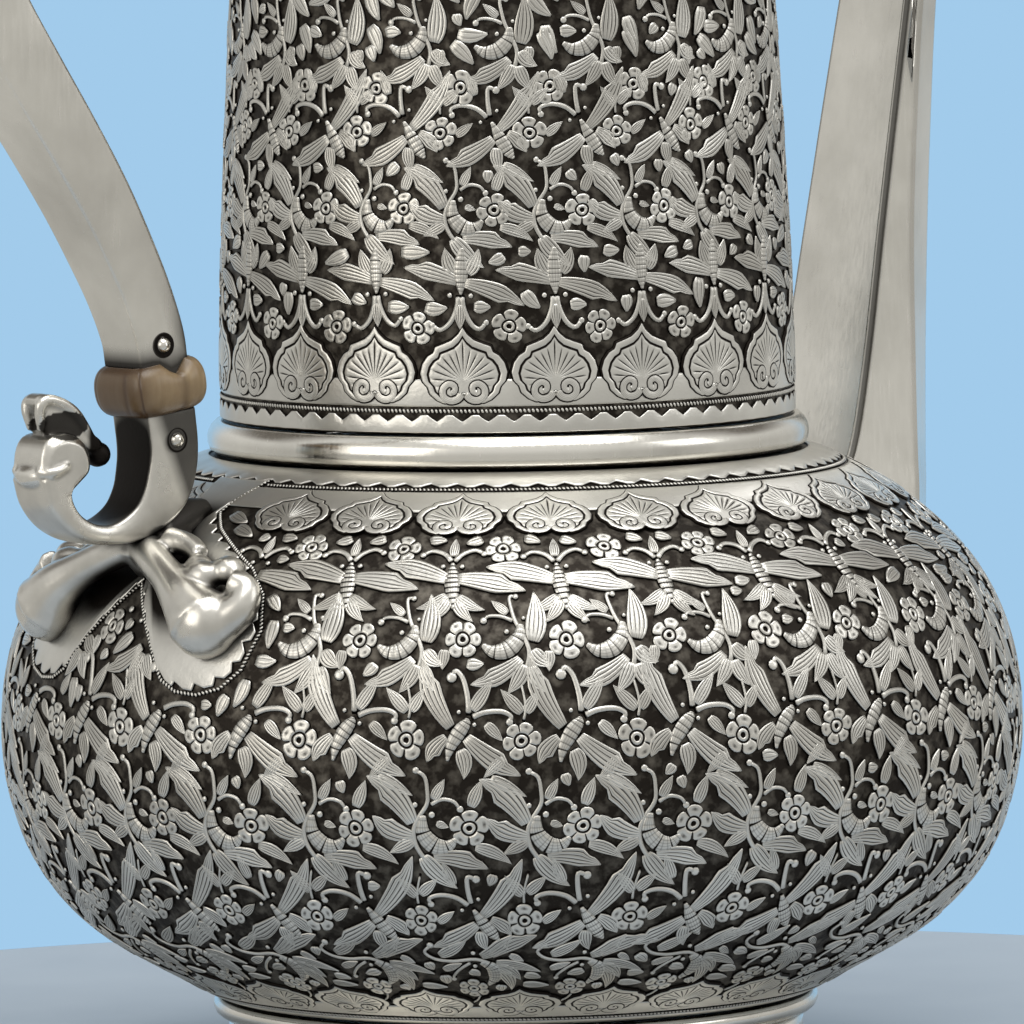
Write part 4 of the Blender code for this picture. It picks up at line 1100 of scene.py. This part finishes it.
def cushion(name, centre, axis, long, half, aside, node):
    """An ivory insulator: a cushion with bulging sides, nicked and grooved where the silver tongues bite."""
    centre, axis = np.array(centre, float), np.array(axis, float) / np.linalg.norm(axis)
    side, across = np.array((axis[2], 0, -axis[0])), np.array((0, 1.0, 0))
    turn = full_turn(144)
    power = 2 / 4.6
    u = np.sign(np.cos(turn)) * np.abs(np.cos(turn)) ** power
    v = np.sign(np.sin(turn)) * np.abs(np.sin(turn)) ** power
    crack = sum(np.exp(-((turn - place + math.pi) % (2 * math.pi) - math.pi) ** 2 / 0.0016)
                for place in (0.5, 2.2, 2.75, 3.3, 3.9, 5.6))
    flat = np.abs(v) > 0.7
    sections, stains = [], []
    for level in np.concatenate([[-0.995], np.linspace(-0.97, 0.97, 23), [0.995]]):
        size = half - 2.1 + 2.1 * math.sqrt(max(0, 1 - abs(level) ** 2.3))
        parted = np.exp(-((u * half - aside) / 0.5) ** 2) * flat
        rise = level * long / 2 * np.ones_like(u)
        bite = np.clip(1 - np.abs(u * half - aside) / 3.0, 0, 1) * (np.abs(v) > 0.55)
        rise -= 2.3 * bite * max(0.0, level) ** 1.5
        inset = 1 - (0.09 * parted + 0.012 * crack)
        sections.append(centre + rise[:, None] * axis + (u * size * (1 - 0.012 * crack))[:, None] * side
                        + (v * size * inset)[:, None] * across)
        # browner where u < 0: the outer face of the lower cushion and the underside of the upper one
        browner_side = np.clip(-u - 0.2, 0, 1) * 0.9
        stains.append(np.clip(browner_side + 0.75 * np.clip(-level - 0.55, 0, 1) * 2 + 0.55 * parted + 0.6 * crack
                              + 0.5 * np.clip(level - 0.75, 0, 1) * 4, 0, 0.9))
    loft(name, sections, IVORY, node, soot=stains)


cushion("lower_ivory_cushion", (-66.4, 0, 108.4), (-0.16, 0, 0.987), 7.5, 6.85, 1.4, "lower_insulator")
cushion("upper_ivory_cushion", (-60.4, 0, 196.4), (-0.995, 0, 0.10), 7.2, 6.7, 0.0, "upper_insulator")


def casting(name, forms, node, grain, soften, soot=None):
    """A casting: closed forms melted into one skin. Each form is a list of rings in millimetres; soot takes
    points in millimetres and their normals and says how black each one is."""
    points, faces, start = [], [], 0
    for rings in forms:
        rings = np.asarray(rings, float)
        rows, columns = rings.shape[:2]
        points.append(rings.reshape(-1, 3) * MM)
        faces += grid_faces(rows, columns, True, start).tolist()
        faces += [list(range(start, start + columns))[::-1],
                  list(range(start + (rows - 1) * columns, start + rows * columns))]
        start += rows * columns
    mesh = bpy.data.meshes.new(name)
    mesh.from_pydata(np.concatenate(points).tolist(), [], faces)
    raw = bpy.data.objects.new(name + "_forms", mesh)
    bpy.context.scene.collection.objects.link(raw)
    skin = raw.modifiers.new("melted together", "REMESH")
    skin.mode, skin.voxel_size = "VOXEL", grain * MM
    smooth = raw.modifiers.new("fettled", "SMOOTH")
    smooth.iterations, smooth.factor = soften, 0.5
    bpy.context.view_layer.update()
    made = bpy.data.meshes.new_from_object(raw.evaluated_get(bpy.context.evaluated_depsgraph_get()))
    bpy.data.objects.remove(raw)
    made.name = name
    made.polygons.foreach_set("use_smooth", np.ones(len(made.polygons), bool))
    if soot:
        where = np.zeros(len(made.vertices) * 3, np.float32)
        made.vertices.foreach_get("co", where)
        facing = np.zeros(len(made.vertices) * 3, np.float32)
        made.vertex_normals.foreach_get("vector", facing)
        black = soot(where.reshape(-1, 3) / MM, facing.reshape(-1, 3))
        store(made, "soot", black)
    shown(name, made, CAST, "pot", (node,))


def lump(centre, radius, stretch=(1, 1, 1)):
    """A ball or egg as a form for a casting."""
    rings = []
    for level in np.linspace(-0.985, 0.985, 13):
        r = math.sqrt(1 - level ** 2)
        turn = full_turn(24)
        rings.append(np.stack([centre[0] + radius * stretch[0] * r * np.cos(turn),
                               centre[1] + radius * stretch[1] * r * np.sin(turn),
                               np.full(24, centre[2] + radius * stretch[2] * level)], -1))
    return rings


def limb(points, radii):
    """A round tapering limb through points, as a form for a casting."""
    line = curve_through(np.column_stack([points, radii]))
    tangent = np.gradient(line[:, :3], axis=0)
    rings = []
    turn = full_turn(20)[:, None]
    for (x, y, z, r), along in zip(line, tangent):
        along = along / np.linalg.norm(along)
        upward = math.hypot(along[0], along[1]) <= 1e-3
        level = np.array((0, 1.0, 0) if upward else (along[1], -along[0], 0))
        level = level / np.linalg.norm(level)
        upright = np.cross(level, along)
        rings.append(np.array((x, y, z)) + r * np.cos(turn) * level + r * np.sin(turn) * upright)
    return rings


def slab(outline, half_width, arris):
    """A flat form cut to an outline of (x, z), standing either side of the handle's plane, its edges
    eased."""
    outline = np.array(outline, float)
    middle = outline.mean(0)
    shrunk = middle + (outline - middle) * (1 - arris / np.linalg.norm(outline - middle, axis=1).mean())
    rings = []
    for y, ring in ((-half_width, shrunk), (-half_width + arris, outline), (half_width - arris, outline),
                    (half_width, shrunk)):
        dense = curve_through(closed(ring), 4)[:-1]
        rings.append(np.stack([dense[:, 0], np.full(len(dense), y), dense[:, 1]], -1))
    return rings


SCROLL = [(-65.85, 104.9, 9.7, 8.7), (-65.3, 98.6, 9.6, 8.6), (-66.4, 93.6, 9.2, 8.2),
          (-69.2, 90.0, 8.9, 6.2), (-72.6, 88.1, 8.7, 4.4), (-76.6, 87.3, 8.6, 3.0), (-80.4, 87.9, 8.6, 3.0),
          (-83.6, 89.8, 8.7, 3.4), (-85.6, 92.8, 8.8, 4.2), (-85.9, 96.0, 8.8, 5.6)]
HEAD = [(-87.6, 93.6), (-88.7, 96.6), (-88.5, 99.8), (-87.2, 101.9), (-84.4, 102.5), (-81.6, 101.6),
        (-80.2, 99.6), (-80.0, 97.0), (-81.6, 95.4), (-83.3, 94.0), (-84.2, 92.6)]
CREST = [(-86.6, 101.6), (-86.7, 104.0), (-87.3, 106.0), (-88.1, 107.4), (-86.9, 108.4), (-84.2, 107.9),
         (-81.6, 106.5), (-79.8, 104.4), (-78.6, 102.2), (-76.4, 101.0), (-76.2, 99.4), (-78.2, 99.2),
         (-80.6, 100.6), (-83.6, 101.2)]
scroll_forms = [bar_sections(SCROLL, 0.8), slab(HEAD, 4.5, 1.1), slab(CREST, 2.1, 0.8),
                lump((-76.2, 0, 98.9), 1.9, (1.0, 1.15, 1.0)),
                lump((-88.2, 0, 96.4), 2.6, (0.62, 1.35, 0.62))]
for side in (-1, 1):
    scroll_forms.append(limb([(-88.6, side * 2.6, 97.2), (-87.4, side * 4.3, 97.0),
                              (-84.6, side * 4.6, 98.0)],
                             [0.8, 0.7, 0.4]))
    scroll_forms.append(limb([(-87.0, side * 1.2, 103.0), (-87.6, side * 1.7, 106.2),
                              (-86.4, side * 1.8, 107.5), (-83.8, side * 1.8, 106.9),
                              (-81.4, side * 1.7, 105.4), (-79.6, side * 1.6, 103.2),
                              (-77.8, side * 1.2, 100.8)], [0.6, 0.8, 0.85, 0.85, 0.85, 0.8, 0.7]))


def scroll_soot(p, n):
    x, y, z = p.T
    black = looks_into(p, n, (-75.5, 0, 97.5), 12.5)
    crest = (((x + 83.6) / 4.2) ** 2 + ((z - 103.6) / 2.1) ** 2 < 1) & (np.abs(n[:, 1]) > 0.4)
    black = np.maximum(black, 0.95 * crest)
    black = np.maximum(black, np.clip((x + 79.6) / 0.8, 0, 1) * (x < -73) * (z > 96))
    on_side = np.abs(n[:, 1]) > 0.6
    black = np.maximum(black, on_side * (x > -71) * 0.85 * np.clip((x + 69.8 - 0.42 * (104 - z)) / 2.2, 0, 1))
    pin = np.hypot(x + 65.3, z - 100.6)
    black = np.maximum(black, on_side * 0.9 * np.clip((2.7 - pin) / 0.9, 0, 1))
    return black


casting("scroll_bracket_cast", scroll_forms, "scroll_bracket", 0.28, 3, scroll_soot)

mount_forms = [limb([(-70.4, 0, 86.6), (-66.8, 0, 84.6), (-63.5, 0, 83.0)], [3.0, 4.4, 5.6]),
               limb([(-66.5, 0, 86.6), (-62.0, 0, 88.2), (-56.5, 0, 89.6)], [4.0, 3.4, 1.8])]
for side in (-1, 1):
    mount_forms += [
        limb([(-68.8, side * 0.8, 85.4), (-70.2, side * 5.0, 83.6), (-71.4, side * 10.5, 81.2),
              (-72.2, side * 15.5, 78.4), (-71.9, side * 19.0, 75.4)], [2.7, 2.6, 2.7, 3.7, 5.2]),
        lump((-71.4, side * 19.4, 75.0), 5.3, (0.95, 1.0, 1.0)),
        limb([(-70.6, side * 22.0, 75.2), (-68.8, side * 24.4, 77.4), (-67.6, side * 24.2, 80.0),
              (-68.8, side * 22.2, 81.2)], [3.4, 2.7, 2.2, 1.9]),
        lump((-69.6, side * 16.4, 81.6), 2.7, (1.0, 1.2, 0.9)),
        lump((-67.0, side * 19.4, 82.4), 2.5, (1, 1.1, 0.9)),
        lump((-67.8, side * 13.2, 82.4), 2.2),
        limb([(-67.4, side * 5.0, 86.2), (-66.4, side * 9.0, 85.4), (-66.6, side * 12.0, 84.2)],
             [2.0, 1.8, 1.5])]
casting("scroll_mount_cast", mount_forms, "scroll_mount", 0.36, 9,
        lambda p, n: np.maximum(looks_into(p, n, (-69.0, 0, 76.0), 13.0),
                                0.95 * np.clip((p[:, 0] + 67.4) / 2.0, 0, 1) * (np.abs(p[:, 1]) < 9)))

bracket = bar_sections([(-38.35, 192.0, 14.6, 14.0), (-39.6, 192.0, 14.4, 13.2), (-41.4, 192.4, 13.0, 11.6),
                        (-45.8, 194.4, 10.4, 9.2), (-51.2, 195.2, 9.7, 8.7), (-56.8, 195.95, 9.7, 8.7)], 1.2)
casting("neck_bracket_cast", [bracket] + [lump((-47.5, side * 4.6, 191.6), 2.5) for side in (-1, 1)],
        "neck_bracket", 0.3, 3)


def rivet(name, spot, half_width, node):
    """A pin with two domed heads, each in a small blackened seat."""
    outline = [(0.02, 0.95), (0.5, 0.86), (0.85, 0.6), (1.06, 0.22), (1.12, 0.02), (1.22, -0.02), (1.5, 0.04),
               (1.75, 0.1), (1.9, 0.02), (1.95, -0.25), (0.8, -0.3)]
    rings, turn = [], full_turn(32)
    for sign in (1, -1):
        for r, out in outline if sign > 0 else reversed(outline):
            y = spot[1] + sign * (half_width + out)
            rings.append(np.stack([spot[0] + r * np.cos(turn), np.full(32, y), spot[2] + r * np.sin(turn)], -1))
    soot = [0, 0, 0, 0.2, 1, 1, 1, 1, 0.9, 0.9, 0.5]
    loft(name, rings, WIRE, node, soot=spread(soot + soot[::-1], 32))


for label, centre, axis in (("lower", (-66.4, 107.6), (-0.16, 0.987)),
                            ("upper", (-60.4, 196.4), (-0.995, 0.10))):
    for end, sign in (("body", -1), ("grip", 1)):
        pin = (centre[0] + sign * 7.1 * axis[0], 0, centre[1] + sign * 7.1 * axis[1])
        rivet(f"{label}_{end}_rivet_heads", pin, 4.88 if end == "body" else 5.03, f"{label}_{end}_rivet")

# ---------- spout ----------
SPOUT = [(66.0, 43.2, 67.8, 75.5, 26.4, 13.4), (72.0, 45.5, 69.2, 76.2, 26.0, 13.0),
         (84.0, 53.0, 70.6, 77.2, 24.0, 12.0), (92.0, 58.2, 71.0, 77.6, 22.4, 11.2),
         (106.0, 62.0, 71.4, 78.2, 20.8, 10.3), (125.0, 65.6, 71.9, 79.2, 19.4, 9.5),
         (143.0, 69.0, 73.3, 80.4, 18.3, 9.0), (160.0, 72.3, 75.2, 81.8, 17.2, 8.7),
         (178.0, 75.8, 78.3, 84.2, 15.8, 8.2), (194.0, 79.4, 82.0, 87.4, 14.4, 7.6)]
SPOUT_TIP = [(89.2, 206.0, 27.0, 7.8, 13.4, 7.4), (95.7, 214.6, 40.0, 7.6, 12.8, 7.4),
             (102.87, 221.4, 46.0, 7.8, 12.6, 7.6)]


def spout_corners():
    rows = []
    for z, x_in, x_side, x_out, wide, narrow in SPOUT:
        rows.append([(x_in, -wide / 2, z), (x_side, -wide / 2, z), (x_out, -narrow / 2, z),
                     (x_out, narrow / 2, z), (x_side, wide / 2, z), (x_in, wide / 2, z)])
    for x, z, lean, deep, wide, narrow in SPOUT_TIP:
        along = np.array((math.cos(math.radians(lean)), 0, -math.sin(math.radians(lean))))
        rows.append([np.array((x, y, z)) + d * along for d, y in (
            (-deep / 2, -wide / 2), (-deep / 8, -wide / 2), (deep / 2, -narrow / 2), (deep / 2, narrow / 2),
            (-deep / 8, wide / 2), (-deep / 2, wide / 2))])
    rows = np.array(rows, float)
    return curve_through(rows.reshape(len(rows), 18), 5).reshape(-1, 6, 3)


def faceted(corners, quirk=0.0):
    """Six flat facets with crisp narrow arrises; a quirk sinks a fine groove along the two arrises nearest the
    neck. Each point also gets a darkening: darker in the quirk grooves, and with a quirk a light painted shade
    on the two outer arrises that greys their reflection."""
    made, soot = [], []
    for ring in corners:
        points, black = [], []
        centre = ring.mean(0)
        for k in range(6):
            here, before, after = ring[k], ring[k - 1], ring[(k + 1) % 6]
            to_before = (before - here) / np.linalg.norm(before - here)
            to_after = (after - here) / np.linalg.norm(after - here)
            inward = (centre - here) / np.linalg.norm(centre - here)
            sunk = quirk if k in (0, 5) else 0.0
            # painted shade: with a quirk, the two outer arrises take a quarter of the groove's darkening, which
            # greys their reflection
            dulled = 0.25 if k in (1, 4) and quirk else 0.0
            for offset, depth, dark in ((to_before * 1.3, 0, 0), (to_before * 0.85, 0, 0.35),
                                        (to_before * 0.55, 1, 0.78), (to_after * 0.42, 1, 0.78),
                                        (to_after * 0.7, 0, 0.35), (to_after * 1.2, 0, 0)):
                points.append(here + offset + inward * (sunk * depth + (0.06 * depth if sunk > 0 else 0)))
                black.append(dark if sunk > 0 else dark * dulled)
            gap = after - here
            points += [here + gap * share for share in (0.35, 0.65)]
            black += [0, 0]
        made.append(points)
        soot.append(black)
    return np.array(made), np.array(soot)


outer_corners = spout_corners()
outer, outer_soot = faceted(outer_corners, 0.4)
centres = outer_corners.mean(1, keepdims=True)
spans = np.linalg.norm(outer_corners - centres, axis=2).max(1)[:, None, None]
bore, bore_soot = faceted(centres + (outer_corners - centres) * (1 - 1.25 / spans))
spout_rings = np.concatenate([outer, bore[::-1]])
# the whole bore is darkened 0.6 toward black
spout_soot = np.concatenate([outer_soot, bore_soot[::-1] + 0.6]).ravel()
spout = loft("spout_faces", spout_rings, PLAIN, "spout", open_ends=True)
room = turned("belly_room", [(r - 0.5, z) for r, z in BELLY_LINE[:-2]] + [(0, 18.0), (0, 95.3)], PLAIN,
              segments=96)
cut = spout.modifiers.new("seated on the belly", "BOOLEAN")
cut.operation, cut.solver, cut.object = "DIFFERENCE", "EXACT", room
bpy.context.view_layer.update()
spout.data = bpy.data.meshes.new_from_object(spout.evaluated_get(bpy.context.evaluated_depsgraph_get()))
spout.modifiers.clear()
bpy.data.objects.remove(room)
before = KDTree(len(spout_soot))
for k, point in enumerate(spout_rings.reshape(-1, 3) * MM):
    before.insert(point, k)
before.balance()
# the spout's darkening: darker quirk grooves and bore, and painted shade on the two outer arrises
store(spout.data, "soot", [spout_soot[before.find(v.co)[1]] for v in spout.data.vertices])
lean = math.radians(SPOUT_TIP[-1][2])
out = np.array((math.sin(lean), 0, math.cos(lean)))
centre = np.array((SPOUT_TIP[-1][0], 0, SPOUT_TIP[-1][1]))


def lip_ring(size, along):
    return faceted((centre + (outer_corners[-1] - centre) * size + out * along)[None])[0][0]


loft("spout_lip_edge", [lip_ring(size, along) for size, along in (
    (1.02, 0.3), (1.12, 0.55), (1.16, 1.1), (1.15, 1.6), (1.08, 1.95), (0.94, 1.9), (0.87, 1.6), (0.83, 1.1),
    (0.83, 0.3))], PLAIN, "spout_lip", open_ends=True)

# ---------- finial and hinge ----------
BUD_LINE = [(0.5, 262.1), (1.4, 261.0), (3.0, 258.4), (5.6, 254.4), (6.9, 250.4), (6.6, 247.0), (4.6, 243.0),
            (3.0, 240.4), (3.4, 238.5)]
BUD_BORE = [(1.75, 238.5), (1.75, 248.3), (0, 249.5), (0, 262.2)]
turned("finial_bud_ground", [(r - 0.2, z) for r, z in curve_through(BUD_LINE, 4)] + BUD_BORE, GROUND,
       ("finial_bud",), body="lid", segments=96)
ring_of(Relief(Wall(BUD_LINE)),
        (lambda s: leaf(s, (0, 0), (0, -11.5), 4.2), 6, 0.0, 13.4, {"radius": 6.5, "uneven": 0.2}),
        (lambda s: leaf(s, (0, 0), (0, -7.6), 3.0), 6, 30.0, 16.8, {"radius": 6.0, "uneven": 0.2}),
        (lambda s: leaf(s, (0, 0), (0, 5.4), 2.0), 8, 10.0, 17.6, {"radius": 4.6, "uneven": 0.2})).build(
    "finial_bud_petals", body="lid")

for node in ("hinge_leaf_body", "hinge_leaf_lid", "finial_nut", "finial_stud", "hinge_pin"):
    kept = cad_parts[node]
    kept.data.materials.clear()
    kept.data.materials.append((CAST if "leaf" in node else WIRE)[0])
    if "leaf" in node:
        arris = kept.modifiers.new("filed arrises", "BEVEL")
        arris.width, arris.segments, arris.limit_method = 0.25 * MM, 2, "ANGLE"
        arris.angle_limit = math.radians(35)


# ---------- stage, light and camera ----------
def soft_box(name, spot, aim, width, height, brightness, colour="#FFFFFF"):
    """A soft white panel; brightness is how bright it looks in a mirror, with white at 1."""
    data = bpy.data.lights.new(name, "AREA")
    data.shape = "RECTANGLE"
    data.size, data.size_y = width, height
    data.energy = brightness * math.pi * width * height
    data.color = linear(colour)[:3]
    lamp = bpy.data.objects.new(name, data)
    lamp.location = spot
    lamp.rotation_euler = (Vector(aim) - Vector(spot)).to_track_quat("-Z", "Y").to_euler()
    lamp.visible_camera = False
    bpy.context.scene.collection.objects.link(lamp)


def table_top():
    """A round pale table, its edge softly rounded."""
    outline = [(0.05, -0.05), (120, -0.05), (183.0, -0.05), (188.0, -0.5), (190.0, -2.4), (190.0, -12.0),
               (186.0, -15.0), (0.05, -15.0)]
    points = np.array([[(r * math.cos(a), r * math.sin(a), z) for a in full_turn(256)]
                       for r, z in outline]) * MM
    mesh = bpy.data.meshes.new("table_top")
    mesh.from_pydata(points.reshape(-1, 3).tolist(), [], grid_faces(len(outline), 256, True)[:,
                                                                                             ::-1].tolist())
    for face in mesh.polygons:
        face.use_smooth = True
    made, tree, shader, place = new_finish("Table, painted pale grey blue")
    mottle = add(tree, "TexNoise", "Fac", {"Vector": place, "Scale": 40.0, "Detail": 4.0})
    colour = add(tree, "Mix", "Result", {"Factor": mottle, "A": "#A7B0BA", "B": "#B7BFC7"}, data_type="RGBA")
    fill(shader, {"Base Color": colour, "Roughness": 0.42})
    table = bpy.data.objects.new("table_top", mesh)
    mesh.materials.append(made)
    bpy.context.scene.collection.objects.link(table)
    table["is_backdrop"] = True


table_top()
world = bpy.data.worlds.new("studio")
bpy.context.scene.world = world
world.use_nodes = True
sky = world.node_tree
way = add(sky, "TexCoord", "Generated")
toward = add(sky, "VectorMath", "Value", {0: way, 1: (0.616, 0.788, 0.0)}, operation="DOT_PRODUCT")
behind = add(sky, "MapRange", "Result", {"Value": toward, "From Min": 0.82, "From Max": 0.95})
height = add(sky, "SeparateXYZ", "Z", {"Vector": way})
upward = add(sky, "MapRange", "Result", {"Value": height, "From Min": -0.05, "From Max": 0.4})
walls = add(sky, "Mix", "Result", {"Factor": upward, "A": "#C0BFBB", "B": "#DEDDDA"}, data_type="RGBA")
back = add(sky, "MapRange", "Result", {"Value": toward, "From Min": 0.12, "From Max": 0.42})
high = add(sky, "MapRange", "Result", {"Value": height, "From Min": 0.3, "From Max": 0.5})
ceiling = add(sky, "Math", 0, {0: back, 1: high}, operation="MULTIPLY")
walls = add(sky, "Mix", "Result", {"Factor": ceiling, "A": walls, "B": "#6B6660"}, data_type="RGBA")
room = add(sky, "Mix", "Result", {"Factor": behind, "A": walls, "B": "#A2CBEB"}, data_type="RGBA")
fill(sky.nodes["Background"], {"Color": room, "Strength": 1.0})

MIDDLE = (0, 0, 0.1)
soft_box("overhead panel", (-0.1, -0.35, 1.1), MIDDLE, 0.9, 0.7, 3.2)
soft_box("right panel", (0.85, -1.1, 0.75), MIDDLE, 0.6, 0.7, 1.5)
soft_box("left panel", (-1.35, -0.1, 0.5), MIDDLE, 0.8, 0.9, 1.6, "#FFFAF2")
soft_box("far right panel", (0.82, 0.44, 1.02), MIDDLE, 0.45, 0.4, 3.0)

camera = bpy.data.objects.new("camera", bpy.data.cameras.new("camera"))
camera.data.lens, camera.data.sensor_width = 375.0, 36.0
camera.data.shift_x = 0.0027
camera.data.clip_start, camera.data.clip_end = 0.1, 20.0
camera.matrix_world = (Matrix.Translation((-0.98505, -1.26082, 0.220)) @ Matrix.Rotation(math.radians(-38), 4,
                                                                                         "Z")
                       @ Matrix.Rotation(math.radians(90 - 4.8), 4, "X")
                       @ Matrix.Rotation(math.radians(-0.8), 4, "Z"))
bpy.context.scene.collection.objects.link(camera)
bpy.context.scene.camera = camera
bpy.context.scene.view_settings.view_transform = "Standard"

low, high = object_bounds()
